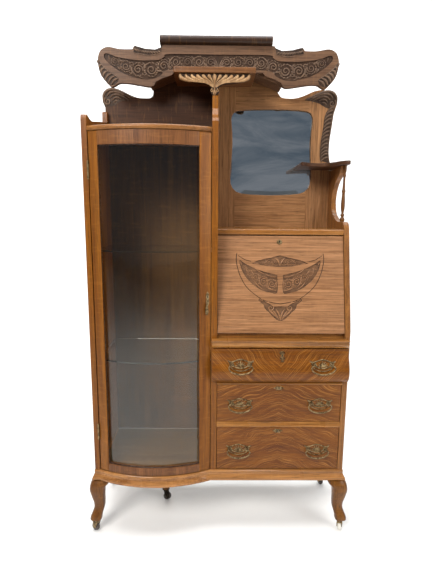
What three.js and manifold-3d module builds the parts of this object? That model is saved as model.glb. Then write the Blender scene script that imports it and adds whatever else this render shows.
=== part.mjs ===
// A side-by-side secretary: a bow-front china section with one curved glass door on the left,
// and a mirror, a fall-front writing desk and three drawers on the right.
// Millimetres, +Z up, +X to the right of someone facing the cabinet, front towards -Y.
// While the pieces are made, Y = 0 is the plane of the case's front edges and Z = 0 is the floor.
// The finished group is moved so that its origin is the centre of its footprint on the floor.

import * as THREE from 'three';
import { mergeVertices } from 'three/addons/utils/BufferGeometryUtils.js';
import Module from 'manifold-3d';

const wasm = await Module();
wasm.setup();

// ---------------------------------------------------------------- driving dimensions

const GAP = 0.3; // between pieces that touch
const CASE_HALF_WIDTH = 481.5;
const SIDE_THICKNESS = 20;
const SIDE_INNER = CASE_HALF_WIDTH - SIDE_THICKNESS;
const PARTITION_X = -23;
const PARTITION_THICKNESS = 22;
const PARTITION_LEFT = PARTITION_X - PARTITION_THICKNESS / 2;
const PARTITION_RIGHT = PARTITION_X + PARTITION_THICKNESS / 2;
const CASE_DEPTH = 330; // from the front edges to the back boards
const BACK_THICKNESS = 12;
const UPPER_BACK_THICKNESS = 16;
const UPPER_BACK_Y = [CASE_DEPTH, CASE_DEPTH + UPPER_BACK_THICKNESS];

const BASE_BOTTOM = 220;
const BASE_TOP = 263;
const FLOOR_BOARD_THICKNESS = 18;
const FLOOR_HALF_WIDTH = SIDE_INNER - 3;
const FLOOR_FRONT = 20;
const CHINA_TOP_Z = [1520, 1536];
const DESK_TOP_Z = [1168, 1189];
const DESK_TOP_FRONT = 84;
const LEDGE_Z = [758, 790];
const LEDGE_X = [-31, 473];
const WRITING_TOP = 807;
const RAIL_UPPER_Z = [610, 630];
const RAIL_LOWER_Z = [439, 461];

// The bow of the china section: an arc over the door, seen from above.
const DOOR_X = [-458.5, -36.5];
const DOOR_Z = [265.5, 1518];
const BOW_CENTRE_X = -248;
const BOW_HALF_CHORD = 212;
const BOW_RISE = 49;
const BOW_RADIUS = (BOW_HALF_CHORD ** 2 + BOW_RISE ** 2) / (2 * BOW_RISE);
const BOW_CENTRE_Y = BOW_RADIUS - BOW_RISE;
const DOOR_THICKNESS = 22;
const GLASS_X = [-424, -77];
const GLASS_Z = [295, 1472];
const GLASS_REBATE = 6;
const GLASS_THICKNESS = 3;
const SHELF_LEVELS = [690, 1105];
const SHELF_THICKNESS = 6;
const DOOR_HINGE = { x: -SIDE_INNER + 0.4, y: -4.5, levels: [['lower', 422], ['upper', 1390]] };
const DOOR_DROP = { x: -50, z: 925 };

// The fall front leans back and turns about its lower inner edge.
const LEAN = THREE.MathUtils.degToRad(13.5);
const LID_THICKNESS = 16;
const LID_LENGTH = 364;
const LID_X = [PARTITION_RIGHT + 1.5, SIDE_INNER - 1.5];
const LID_PIVOT = { y: 16.6, z: WRITING_TOP };
const LID_HINGE_X = [82, 368];
const LID_HINGE_LENGTH = 38;
const PIGEONHOLES = { x: [-8, 447], y: [205, CASE_DEPTH - 2 * GAP], z: [WRITING_TOP, DESK_TOP_Z[0] - 3] };
const PIGEONHOLE_WALL = 6;

// The lid's stay is a slotted arm pivoted on the lid, which slides over a stud on the right side.
// Pivot and stud are equally far from the hinge line, so the arm turns half as fast as the lid.
const STAY_REACH = 150; // from the hinge line to the arm's pivot, along the lid
const STAY_OFFSET = 11; // of the pivot from the lid's inner face
const STAY_SET_BACK = THREE.MathUtils.degToRad(8); // of the stud behind the pivot, about the hinge line
const STAY_LENGTH = 258; // from the pivot to the middle of the arm's round end
const STAY_SLOT = [14, 252];
const STAY_HALF_WIDTH = 6;
const STAY_SLOT_HALF_WIDTH = 2.6;
const STAY_X = [454, 456];

// Drawers, and for each one where its two pulls hang.
const DRAWER_BOX_X = [PARTITION_RIGHT + 3, SIDE_INNER - 3];
const FLAT_PIVOT_Y = -10;
const OGEE_PIVOT_Y = -43;
const PULL_X = [[75, 377], [77, 380], [74, 377]];
const PULL_Z = [694, 530, 343];
const PIVOT_Y = [OGEE_PIVOT_Y, FLAT_PIVOT_Y, FLAT_PIVOT_Y];
const BAIL = { halfWidth: 43, pivotHalfSpan: 34, drop: 33, radius: 2.6 };

// Right half of the mirror's outline, (X, Z) from its middle, from the top round to the bottom.
const MIRROR_CENTRE_X = 213;
const MIRROR_Z = [1324, 1670];
const MIRROR_HALF = [
  [0, MIRROR_Z[1]],
  [80, 1668.5],
  [140, 1664],
  [160, 1655],
  [168, 1638],
  [167, 1605],
  [163, 1560],
  [164, 1500],
  [169, 1440],
  [171, 1400],
  [167, 1366],
  [150, 1342],
  [120, 1330],
  [60, 1326],
  [0, MIRROR_Z[0]],
];

// The crest and canopy above the back panels.
const CREST_CENTRE_X = -11;
const CREST_Y = [215, 235];
const CREST_TOP = 1870.7;
const CAP_X = [-232, 191];
const CAP_Y = [197, 346];
const CAP_Z = [1871, 1903];
const CANOPY_X = [-279, 238];
const CANOPY_SIDE_BOTTOM = 1736;
const CANOPY_TOP = 1855;
const CANDLE_SHELF_X = [-178, 126];
const CANDLE_SHELF_Y = [150, CASE_DEPTH - GAP];
const CANDLE_SHELF_Z = [1755, 1775];

// Right half of the crest board's outline, from the top edge under the cap round to the
// middle of its lower edge; the left half mirrors it.
const CREST_HALF = {
  top: [
    [210, 1870.7],
    [216, 1862],
    [240, 1852],
    [280, 1855],
    [318, 1866],
    [326, 1854],
    [372, 1854],
    [417, 1861],
    [445, 1849],
    [457, 1820],
    [452, 1786],
    [436, 1752],
    [408, 1722],
    [392, 1722],
    [376, 1731],
    [340, 1730],
    [300, 1725],
    [262, 1722],
    [246, 1727],
  ],
  notch: [
    [239, 1740],
    [212, 1753],
    [178, 1764],
    [168, 1775.3],
  ],
};

const CORNER_SHELF_Z = [1429, 1442];
const SPINDLE = { x: 471.5, y: 150 };
const EAR_TOP = 1218; // where the right side's nose and the spindle's foot are

// Legs and their casters.
const FOOT_BOTTOM = 54;
const WHEEL_RADIUS = 17;
const WHEEL_WIDTH = 14;
const CASTER_TRAIL = 6;

// How far the middle of a cabriole leg leans outward from its corner, and its half-width, by height.
const FOOT_OUT = 1;
const LEG_SECTIONS = [
  { z: FOOT_BOTTOM, out: FOOT_OUT, half: 20.5 },
  { z: 59, out: 1.5, half: 22 },
  { z: 70, out: 0, half: 21.5 },
  { z: 85, out: -5, half: 20.5 },
  { z: 102, out: -10, half: 20 },
  { z: 122, out: -10.5, half: 21 },
  { z: 142, out: -8.5, half: 23.5 },
  { z: 160, out: -7, half: 26 },
  { z: 178, out: -6, half: 28.5 },
  { z: 192, out: -8, half: 30.5 },
  { z: 206, out: -16, half: 36 },
  { z: BASE_BOTTOM - GAP, out: -21, half: 34 },
];
const LEG_CORNER_X = CASE_HALF_WIDTH;
const REAR_LEG_Y = 296;
const CENTRE_LEG = { x: -229, y: 189 };

// ---------------------------------------------------------------- shapes to geometry

// A closed mesh as a solid that can be joined to others and cut by them.
function solid(geometry) {
  const bare = new THREE.BufferGeometry();
  bare.setAttribute('position', geometry.getAttribute('position'));
  if (geometry.index) bare.setIndex(geometry.index);
  const merged = mergeVertices(bare, 1e-4);
  const corners = merged.index.array;
  const kept = [];
  for (let i = 0; i < corners.length; i += 3) {
    const [a, b, c] = [corners[i], corners[i + 1], corners[i + 2]];
    if (a !== b && b !== c && c !== a) kept.push(a, b, c);
  }
  const vertProperties = new Float32Array(merged.getAttribute('position').array);
  const triVerts = new Uint32Array(kept);
  return new wasm.Manifold(new wasm.Mesh({ numProp: 3, vertProperties, triVerts }));
}

function geometryOf(body) {
  const mesh = body.getMesh();
  const geometry = new THREE.BufferGeometry();
  geometry.setAttribute('position', new THREE.BufferAttribute(mesh.vertProperties, 3));
  geometry.setIndex(new THREE.BufferAttribute(mesh.triVerts, 1));
  return geometry;
}

function joined(...geometries) {
  return geometryOf(geometries.map(solid).reduce((whole, next) => whole.add(next)));
}

function cut(geometry, ...cutters) {
  return geometryOf(cutters.map(solid).reduce((rest, cutter) => rest.subtract(cutter), solid(geometry)));
}

// A box between two values on each axis.
function block([x0, x1], [y0, y1], [z0, z1]) {
  const geometry = new THREE.BoxGeometry(x1 - x0, y1 - y0, z1 - z0);
  return geometry.translate((x0 + x1) / 2, (y0 + y1) / 2, (z0 + z1) / 2);
}

function shapeOf(points) {
  if (points instanceof THREE.Shape) return points;
  return new THREE.Shape(points.map(([u, v]) => new THREE.Vector2(u, v)));
}

function extruded(points, depth, segments) {
  const settings = { depth, bevelEnabled: false, curveSegments: segments };
  return new THREE.ExtrudeGeometry(shapeOf(points), settings);
}

// A board with an outline seen from the side, (Y, Z), between two values of X.
function sideBoard(points, [x0, x1], segments = 4) {
  const basis = new THREE.Matrix4().makeBasis(
    new THREE.Vector3(0, 1, 0),
    new THREE.Vector3(0, 0, 1),
    new THREE.Vector3(1, 0, 0),
  );
  return extruded(points, x1 - x0, segments).applyMatrix4(basis).translate(x0, 0, 0);
}

// A board with an outline seen from the front, (X, Z), between two values of Y.
function frontBoard(points, [y0, y1], segments = 4) {
  return extruded(points, y1 - y0, segments).rotateX(Math.PI / 2).translate(0, y1, 0);
}

// A board with an outline seen from above, (X, Y), between two values of Z.
function planBoard(points, [z0, z1], segments = 4) {
  return extruded(points, z1 - z0, segments).translate(0, 0, z0);
}

// A round bar along X, Y or Z, centred on a point.
function roundBar(axis, radius, length, [x, y, z], sides = 16) {
  const geometry = new THREE.CylinderGeometry(radius, radius, length, sides);
  if (axis === 'x') geometry.rotateZ(Math.PI / 2);
  if (axis === 'z') geometry.rotateX(Math.PI / 2);
  return geometry.translate(x, y, z);
}

// A closed skin over rings of points that all have the same count, from the lowest ring up.
// Each ring runs counterclockwise seen from above; the first and last are filled flat.
function loft(rings) {
  const count = rings[0].length;
  const positions = rings.flat().flatMap((point) => [point.x, point.y, point.z]);
  const index = [];
  for (let level = 0; level < rings.length - 1; level += 1) {
    for (let i = 0; i < count; i += 1) {
      const a = level * count + i;
      const b = level * count + ((i + 1) % count);
      index.push(a, b, b + count, a, b + count, a + count);
    }
  }
  const flat = rings[0].map((point) => new THREE.Vector2(point.x, point.y));
  const top = (rings.length - 1) * count;
  const flatTop = rings[rings.length - 1].map((point) => new THREE.Vector2(point.x, point.y));
  THREE.ShapeUtils.triangulateShape(flat, []).forEach(([a, b, c]) => index.push(c, b, a));
  THREE.ShapeUtils.triangulateShape(flatTop, []).forEach((corners) => {
    index.push(...corners.map((corner) => top + corner));
  });
  const geometry = new THREE.BufferGeometry();
  geometry.setAttribute('position', new THREE.Float32BufferAttribute(positions, 3));
  geometry.setIndex(index);
  return geometry;
}

// ---------------------------------------------------------------- materials and meshes

const OAK = { color: 0x8a5528, roughness: 0.42, metalness: 0 };
const OAK_DARK = { color: 0x6b4020, roughness: 0.45, metalness: 0 };
const OAK_GOLD = { color: 0x9c6a34, roughness: 0.38, metalness: 0 };
const BACK_WOOD = { color: 0x8b6a48, roughness: 0.7, metalness: 0 };
const INNER_WOOD = { color: 0xb58a58, roughness: 0.6, metalness: 0 };
const BRASS = { color: 0x7d6336, roughness: 0.4, metalness: 1 };
const IRON = { color: 0x2b2622, roughness: 0.5, metalness: 0.7 };
const PORCELAIN = { color: 0xd9d5cb, roughness: 0.3, metalness: 0 };
const WHEEL_WOOD = { color: 0x3a2a20, roughness: 0.5, metalness: 0 };
const GLASS = { color: 0xbfd0cf, roughness: 0.05, metalness: 0 };
const MIRROR = { color: 0xd5dde2, roughness: 0.03, metalness: 1 };

const cabinet = new THREE.Group();

function addPart(parent, name, geometry, finish) {
  const mesh = new THREE.Mesh(geometry, new THREE.MeshStandardMaterial(finish));
  mesh.name = name;
  parent.add(mesh);
  return mesh;
}

function addGroup(parent, x, y, z) {
  const group = new THREE.Group();
  group.position.set(x, y, z);
  parent.add(group);
  return group;
}

// ---------------------------------------------------------------- the bow

// The bow's line at a distance outside the door's face, as Y for a given X.
function bowY(x, outside = 0) {
  const radius = BOW_RADIUS + outside;
  return BOW_CENTRE_Y - Math.sqrt(radius ** 2 - (x - BOW_CENTRE_X) ** 2);
}

// Points along the bow from one X to another.
function bowPoints(x0, x1, outside, steps = 20) {
  const radius = BOW_RADIUS + outside;
  const a0 = Math.asin((x0 - BOW_CENTRE_X) / radius);
  const a1 = Math.asin((x1 - BOW_CENTRE_X) / radius);
  return Array.from({ length: steps + 1 }, (_, i) => {
    const angle = a0 + ((a1 - a0) * i) / steps;
    return [BOW_CENTRE_X + radius * Math.sin(angle), BOW_CENTRE_Y - radius * Math.cos(angle)];
  });
}

// A curved slab that follows the bow, between two distances outside the door's face.
function bowSlab([x0, x1], [inner, outer], levels, steps = 20) {
  const front = bowPoints(x0, x1, outer, steps);
  const back = bowPoints(x0, x1, inner, steps).reverse();
  return planBoard([...front, ...back], levels);
}

// ---------------------------------------------------------------- case

function buildLeftSide() {
  const top = CHINA_TOP_Z[1];
  const outline = new THREE.Shape();
  outline.moveTo(0, BASE_TOP);
  outline.lineTo(CASE_DEPTH - GAP, BASE_TOP);
  outline.lineTo(CASE_DEPTH - GAP, top + 104);
  outline.absarc(CASE_DEPTH - GAP - 11, top + 104, 11, 0, Math.PI, false);
  outline.lineTo(CASE_DEPTH - GAP - 22, top + 73);
  outline.lineTo(75, top + 29);
  outline.splineThru([new THREE.Vector2(46, top + 31), new THREE.Vector2(22, top + 38)]);
  outline.splineThru([new THREE.Vector2(12, top + 39), new THREE.Vector2(4, top + 35)]);
  outline.lineTo(0, top + 28);
  const board = sideBoard(outline, [-CASE_HALF_WIDTH, -SIDE_INNER]);
  return joined(board, ...shelfCleats([-SIDE_INNER - 1, -SIDE_INNER + 10]));
}

// Strips that the glass shelves rest on.
function shelfCleats(span) {
  return SHELF_LEVELS.map((level) => block(span, [45, 300], [level - 12, level]));
}

function buildPartition() {
  const outline = new THREE.Shape();
  const shelfUnder = CANDLE_SHELF_Z[0] - GAP;
  outline.moveTo(0, BASE_TOP);
  outline.lineTo(CASE_DEPTH - GAP, BASE_TOP);
  outline.lineTo(CASE_DEPTH - GAP, shelfUnder);
  outline.lineTo(178, shelfUnder);
  outline.lineTo(178, 1675);
  outline.lineTo(150, 1675);
  outline.lineTo(150, 1630);
  outline.splineThru([
    new THREE.Vector2(128, 1596),
    new THREE.Vector2(80, 1577),
    new THREE.Vector2(24, 1571),
  ]);
  outline.splineThru([new THREE.Vector2(8, 1567), new THREE.Vector2(0, 1556)]);
  const board = sideBoard(outline, [PARTITION_LEFT, PARTITION_RIGHT]);
  return joined(board, ...shelfCleats([PARTITION_LEFT - 10, PARTITION_LEFT + 1]));
}

// The right side: a slanted front edge beside the lid, a rounded nose, a C-shaped cut
// with the spindle's foot below it, and a bracket that carries the corner shelf.
function buildRightSide() {
  const rear = CASE_DEPTH - GAP;
  const neckRear = UPPER_BACK_Y[1];
  const shelfUnder = CORNER_SHELF_Z[0] - GAP;
  const at = (y, z) => new THREE.Vector2(y, z);
  const outline = new THREE.Shape();
  outline.moveTo(0, BASE_TOP);
  outline.lineTo(rear, BASE_TOP);
  outline.lineTo(rear, DESK_TOP_Z[0] + GAP);
  outline.lineTo(neckRear, DESK_TOP_Z[0] + GAP);
  outline.lineTo(neckRear, shelfUnder);
  outline.lineTo(163, shelfUnder);
  outline.splineThru([
    at(178, 1407), at(200, 1391), at(232, 1376),
    at(262, 1348), at(278, 1318), at(281, 1292),
  ]);
  outline.splineThru([
    at(272, 1266), at(255, 1247), at(228, 1233),
    at(195, 1221), at(176, EAR_TOP),
  ]);
  outline.lineTo(114, EAR_TOP);
  outline.splineThru([at(97, 1212), at(87, 1198), at(82.5, 1180)]);
  outline.lineTo(0, 820);
  return sideBoard(outline, [SIDE_INNER, CASE_HALF_WIDTH]);
}

// The front line of the case's floor board: straight behind the drawers, bowed behind the door.
function floorFront(halfWidth, setBack) {
  const bow = bowPoints(-halfWidth + 6, PARTITION_LEFT - 6, -24, 16).map(([x, y]) => [x, y + setBack]);
  const y = FLOOR_FRONT + setBack;
  return [[-halfWidth, y], ...bow, [PARTITION_LEFT, y], [halfWidth, y]];
}

// The base moulding: a strip round the front and both ends, with a bead above an ogee at the front.
// Each level of its section is the plan outline at its own distance outside the case.
function baseRing([front, end, height]) {
  const side = CASE_HALF_WIDTH + end;
  const rear = CASE_DEPTH - GAP;
  const reach = Math.sqrt((BOW_RADIUS + front) ** 2 - (BOW_CENTRE_Y + front) ** 2);
  const bow = bowPoints(BOW_CENTRE_X - reach, BOW_CENTRE_X + reach, front, 18);
  const inside = floorFront(FLOOR_HALF_WIDTH, 0).reverse();
  const plan = [
    [-side, rear],
    [-side, -front],
    ...bow,
    [side, -front],
    [side, rear],
    [FLOOR_HALF_WIDTH, rear],
    ...inside,
    [-FLOOR_HALF_WIDTH, rear],
  ];
  return plan.map(([x, y]) => new THREE.Vector3(x, y, BASE_BOTTOM + height));
}

function buildBaseMoulding() {
  const section = [
    [6, 6, 0],
    [10, 10, 3],
    [11, 11, 9],
    [8, 8, 16],
    [4, 4, 22],
    [2.5, 2, 28],
    [3, 1, 32],
    [5.5, 1, 35],
    [5.5, 1, 39],
    [2, 1, BASE_TOP - BASE_BOTTOM - GAP],
  ];
  return loft(section.map(baseRing));
}

function buildCaseBottom() {
  const half = FLOOR_HALF_WIDTH - GAP;
  const rear = CASE_DEPTH - GAP;
  const plan = [[-half, rear], ...floorFront(half, 2 * GAP), [half, rear]];
  const top = BASE_TOP - GAP;
  return planBoard(plan, [top - FLOOR_BOARD_THICKNESS, top]);
}

function buildChinaTop() {
  const left = -SIDE_INNER + GAP;
  const right = PARTITION_LEFT - GAP;
  const rear = CASE_DEPTH - GAP;
  const [bottom, top] = CHINA_TOP_Z;
  const ring = (outside, z) => {
    const plan = [[left, rear], ...bowPoints(left, right, outside, 16), [right, rear]];
    return plan.map(([x, y]) => new THREE.Vector3(x, y, z));
  };
  const nose = [
    [-1, bottom],
    [2, bottom + 2],
    [4, bottom + 8],
    [2, bottom + 14],
    [-1, top],
  ];
  return loft(nose.map(([outside, z]) => ring(outside, z)));
}

function buildDeskTop() {
  const [bottom, top] = DESK_TOP_Z;
  const front = DESK_TOP_FRONT;
  const profile = [
    [front + 3, bottom],
    [CASE_DEPTH - GAP, bottom],
    [CASE_DEPTH - GAP, top],
    [front + 4, top],
    [front + 1, top - 3],
    [front, top - 9],
    [front, bottom + 4],
  ];
  return sideBoard(profile, [PARTITION_RIGHT + GAP, SIDE_INNER - GAP]);
}

// A drawer rail with its dust board behind, and a bead along its front edge.
function buildRail([bottom, top], beadHeight) {
  const bead = bottom + beadHeight;
  const profile = [
    [0, bottom + 0.6],
    [CASE_DEPTH - GAP, bottom + 0.6],
    [CASE_DEPTH - GAP, top - GAP],
    [0, top - GAP],
    [0, bead + 4.5],
    [-3, bead + 3.5],
    [-4.5, bead],
    [-3, bead - 3.5],
    [0, bead - 4.5],
  ];
  return sideBoard(profile, [PARTITION_RIGHT + GAP, SIDE_INNER - GAP]);
}

// The moulded board over the upper drawer: its nose runs in front of the case's edges.
function buildLedge() {
  const [bottom, top] = LEDGE_Z;
  const nose = [
    [-0.8, bottom],
    [-0.8, top],
    [-28, top],
    [-28, top - 4],
    [-23, top - 6],
    [-26, top - 13],
    [-24, top - 21],
    [-17, top - 28],
    [-11, bottom],
  ];
  const board = block([PARTITION_RIGHT + GAP, SIDE_INNER - GAP], [-2, CASE_DEPTH - GAP], [bottom, top]);
  return joined(sideBoard(nose.reverse(), LEDGE_X), board);
}

// ---------------------------------------------------------------- legs and casters

// A rounded square ring, its centre and half-width in the plane at height z.
function softSquare(cx, cy, half, z, sides = 12) {
  return Array.from({ length: sides }, (_, i) => {
    const angle = ((i + 0.5) / sides) * 2 * Math.PI;
    const c = Math.cos(angle);
    const s = Math.sin(angle);
    const stretch = half / (Math.abs(c) ** 4 + Math.abs(s) ** 4) ** 0.25;
    return new THREE.Vector3(cx + stretch * c, cy + stretch * s, z);
  });
}

// A cabriole leg that flares along its own directions, with the block that fastens it
// inside the base and a socket for the caster's stem.
function buildCabrioleLeg(flareX, flareY, blockX, blockY) {
  const rings = LEG_SECTIONS.map(({ z, out, half }) => softSquare(flareX * out, flareY * out, half, z));
  const fixing = block(blockX, blockY, [BASE_BOTTOM - 4, BASE_TOP - FLOOR_BOARD_THICKNESS - 2 * GAP]);
  const socket = roundBar('z', 4.6, 60, [flareX * FOOT_OUT, flareY * FOOT_OUT, FOOT_BOTTOM], 10);
  return cut(joined(loft(rings), fixing), socket);
}

// A turned post under the middle of the china section.
function buildCentreLeg() {
  const top = BASE_TOP - FLOOR_BOARD_THICKNESS - 2 * GAP;
  const profile = [
    [0, FOOT_BOTTOM],
    [15, FOOT_BOTTOM],
    [17, FOOT_BOTTOM + 6],
    [15, 90],
    [18, 150],
    [21, 195],
    [26, 216],
    [26, top],
    [0, top],
  ].map(([r, z]) => new THREE.Vector2(r, z));
  const turned = new THREE.LatheGeometry(profile, 12).rotateX(Math.PI / 2);
  return cut(turned, roundBar('z', 4.6, 60, [0, 0, FOOT_BOTTOM], 10));
}

// One cheek of a caster's fork: a plate that runs down beside the wheel to its axle.
function forkCheek([x0, x1], top) {
  const shape = new THREE.Shape();
  shape.moveTo(-9, top);
  shape.lineTo(CASTER_TRAIL - 6, WHEEL_RADIUS - 1);
  shape.absarc(CASTER_TRAIL, WHEEL_RADIUS, 6, Math.PI * 1.1, Math.PI * 1.9, false);
  shape.lineTo(CASTER_TRAIL + 7, top);
  return sideBoard(shape, [x0, x1], 5);
}

// The fork turns about its stem; the wheel turns about its axle, a little behind the stem.
// turn is the direction that the caster happens to point in, in degrees.
function addCaster(name, x, y, turn, forkFinish, wheelFinish) {
  const caster = addGroup(cabinet, x, y, 0);
  caster.rotation.z = THREE.MathUtils.degToRad(turn);
  const plateTop = FOOT_BOTTOM - GAP;
  const crownBottom = 2 * WHEEL_RADIUS + 2;
  const half = WHEEL_WIDTH / 2;
  const cheek = [half + 1, half + 3.5];
  const fork = joined(
    roundBar('z', 16, 3, [0, 0, plateTop - 1.5], 14),
    roundBar('z', 9, plateTop - crownBottom - 5, [0, 0, (plateTop + crownBottom + 1) / 2], 12),
    roundBar('z', 4, 32, [0, 0, plateTop + 12], 10),
    block([-cheek[1], cheek[1]], [-9, CASTER_TRAIL + 7], [crownBottom, crownBottom + 5]),
    forkCheek(cheek, crownBottom + 2),
    forkCheek([-cheek[1], -cheek[0]], crownBottom + 2),
    roundBar('x', 2, 2 * half + 5, [0, CASTER_TRAIL, WHEEL_RADIUS], 10),
  );
  addPart(caster, `${name}_caster_fork`, fork, forkFinish);
  const tread = [
    [2.3, -half],
    [WHEEL_RADIUS - 3, -half],
    [WHEEL_RADIUS, -half + 4],
    [WHEEL_RADIUS, half - 4],
    [WHEEL_RADIUS - 3, half],
    [2.3, half],
    [2.3, -half],
  ].map(([r, w]) => new THREE.Vector2(r, w));
  const wheel = new THREE.LatheGeometry(tread, 16).rotateZ(Math.PI / 2);
  addPart(caster, `${name}_caster_wheel`, wheel, wheelFinish).position.set(0, CASTER_TRAIL, WHEEL_RADIUS);
}

// ---------------------------------------------------------------- china section

function buildDoorFrame() {
  const slab = bowSlab(DOOR_X, [-DOOR_THICKNESS, 0], DOOR_Z, 18);
  const opening = block(GLASS_X, [-100, 100], GLASS_Z);
  const rebateX = [GLASS_X[0] - GLASS_REBATE, GLASS_X[1] + GLASS_REBATE];
  const rebateZ = [GLASS_Z[0] - GLASS_REBATE, GLASS_Z[1] + GLASS_REBATE];
  const rebate = bowSlab(rebateX, [-DOOR_THICKNESS - 8, -12], rebateZ, 16);
  return cut(slab, opening, rebate);
}

function buildDoorGlass() {
  const inset = GLASS_REBATE - 1;
  const paneX = [GLASS_X[0] - inset, GLASS_X[1] + inset];
  const paneZ = [GLASS_Z[0] - inset, GLASS_Z[1] + inset];
  return bowSlab(paneX, [-12.5 - GLASS_THICKNESS, -12.5], paneZ, 16);
}

// A butt hinge: the barrel in front of the door's edge and the leaf on the side of the case.
function buildDoorHinge() {
  const barrel = roundBar('z', 3.5, 62, [0, 0, 0], 10);
  const leaf = block([-0.1, 0.8], [-0.5, 21], [-31, 31]);
  return joined(barrel, leaf);
}

// The drop of the door's pull, hung from its top, in its own frame: front towards -Y.
function buildDoorDrop() {
  const outline = new THREE.Shape();
  outline.moveTo(-2.5, 3);
  outline.splineThru([
    new THREE.Vector2(-3, -8),
    new THREE.Vector2(-5.5, -20),
    new THREE.Vector2(-6, -33),
    new THREE.Vector2(0, -44),
    new THREE.Vector2(6, -33),
    new THREE.Vector2(5.5, -20),
    new THREE.Vector2(3, -8),
    new THREE.Vector2(2.5, 3),
  ]);
  return frontBoard(outline, [-2, 2], 2);
}

function buildGlassShelf() {
  const left = -SIDE_INNER + 1.5;
  const right = PARTITION_LEFT - 1.5;
  const front = bowPoints(left + 16, right - 16, -DOOR_THICKNESS - 22, 12);
  const ends = [front[0][1], front[front.length - 1][1]];
  const plan = [[left, 322], [left, ends[0]], ...front, [right, ends[1]], [right, 322]];
  return planBoard(plan, [0, SHELF_THICKNESS]);
}

// ---------------------------------------------------------------- desk

// The lid in its own frame: hinge line on X, the board standing on it and its inner face at Y = 0.
// A lug near its right edge carries the pivot of the stay's arm.
function buildLid() {
  const board = block(LID_X, [-LID_THICKNESS, 0], [0, LID_LENGTH]);
  const lug = block([439, STAY_X[0] - 7 - GAP], [-1, STAY_OFFSET + 5], [STAY_REACH - 6, STAY_REACH + 6]);
  const notches = LID_HINGE_X.map((x) => roundBar('x', 3.3, LID_HINGE_LENGTH + 1.2, [x, 0, 0], 12));
  return cut(joined(board, lug), ...notches);
}

function buildWritingBoard() {
  const board = block(
    [PARTITION_RIGHT + GAP, SIDE_INNER - GAP],
    [LID_PIVOT.y + 0.8, CASE_DEPTH - GAP],
    [LEDGE_Z[1] + GAP, WRITING_TOP - GAP],
  );
  const pockets = LID_HINGE_X.flatMap((x) => {
    const span = [x - LID_HINGE_LENGTH / 2 - 0.6, x + LID_HINGE_LENGTH / 2 + 0.6];
    return [
      roundBar('x', 3.3, LID_HINGE_LENGTH + 1.2, [x, LID_PIVOT.y, LID_PIVOT.z], 12),
      block(span, [LID_PIVOT.y, LID_PIVOT.y + 28], [WRITING_TOP - 2.4, WRITING_TOP + 2]),
    ];
  });
  return cut(board, ...pockets);
}

// A lid hinge: its barrel on the hinge line and its leaf let into the writing board.
function buildLidHinge() {
  const barrel = roundBar('x', 2.4, LID_HINGE_LENGTH, [0, 0, 0], 12);
  const half = LID_HINGE_LENGTH / 2;
  const leaf = block([-half, half], [0, 27], [-2, -0.6]);
  return joined(barrel, leaf);
}

// The hollows of one row of pigeonholes, open at the front.
function pigeonholeRow(count, [z0, z1]) {
  const [x0, x1] = PIGEONHOLES.x;
  const pitch = (x1 - x0 - PIGEONHOLE_WALL) / count;
  return Array.from({ length: count }, (_, i) => {
    const left = x0 + PIGEONHOLE_WALL + i * pitch;
    const depth = [PIGEONHOLES.y[0] - 5, PIGEONHOLES.y[1] - PIGEONHOLE_WALL];
    return block([left, left + pitch - PIGEONHOLE_WALL], depth, [z0, z1]);
  });
}

// A row of five pigeonholes below and three wide places above.
function buildPigeonholes() {
  const [bottom, top] = PIGEONHOLES.z;
  const middle = bottom + 200;
  const body = block(PIGEONHOLES.x, PIGEONHOLES.y, PIGEONHOLES.z);
  const lower = pigeonholeRow(5, [bottom + PIGEONHOLE_WALL, middle]);
  const upper = pigeonholeRow(3, [middle + PIGEONHOLE_WALL, top - PIGEONHOLE_WALL]);
  return cut(body, ...lower, ...upper);
}

// A stadium outline along Y, between the middles of its two round ends.
function stadium([y0, y1], half, segments) {
  const path = new THREE.Path();
  path.absarc(y1, 0, half, -Math.PI / 2, Math.PI / 2, false);
  path.absarc(y0, 0, half, Math.PI / 2, Math.PI * 1.5, false);
  return path.getPoints(segments).slice(0, -1);
}

// The stay's slotted arm in its own frame: its pivot on X and the arm along +Y.
function buildStayArm() {
  const shape = new THREE.Shape(stadium([0, STAY_LENGTH], STAY_HALF_WIDTH, 6));
  shape.holes.push(new THREE.Path(stadium(STAY_SLOT, STAY_SLOT_HALF_WIDTH, 5)));
  const arm = sideBoard(shape, STAY_X);
  return joined(arm, roundBar('x', 3.5, 8, [STAY_X[0] - 3, 0, 0], 10));
}

// The headed stud on the right side that runs in the arm's slot.
function buildStayStud() {
  const head = roundBar('x', 5, 1.7, [STAY_X[0] - 1.2, 0, 0], 12);
  const flangeEnd = SIDE_INNER - GAP;
  const flangeStart = STAY_X[1] + 0.7;
  const flange = roundBar('x', 6, flangeEnd - flangeStart, [(flangeEnd + flangeStart) / 2, 0, 0], 12);
  const shank = roundBar('x', 2.2, 6, [STAY_X[0] + 1, 0, 0], 10);
  return joined(head, flange, shank);
}

// ---------------------------------------------------------------- drawers

// The box of a drawer: two sides, a back and a bottom, open above.
function drawerBox(frontY, [z0, z1]) {
  const outer = block(DRAWER_BOX_X, [frontY, 306], [z0, z1 - 12]);
  const inner = block([DRAWER_BOX_X[0] + 12, DRAWER_BOX_X[1] - 12], [frontY + 6, 294], [z0 + 8, z1 + 1]);
  return geometryOf(solid(outer).subtract(solid(inner)));
}

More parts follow.
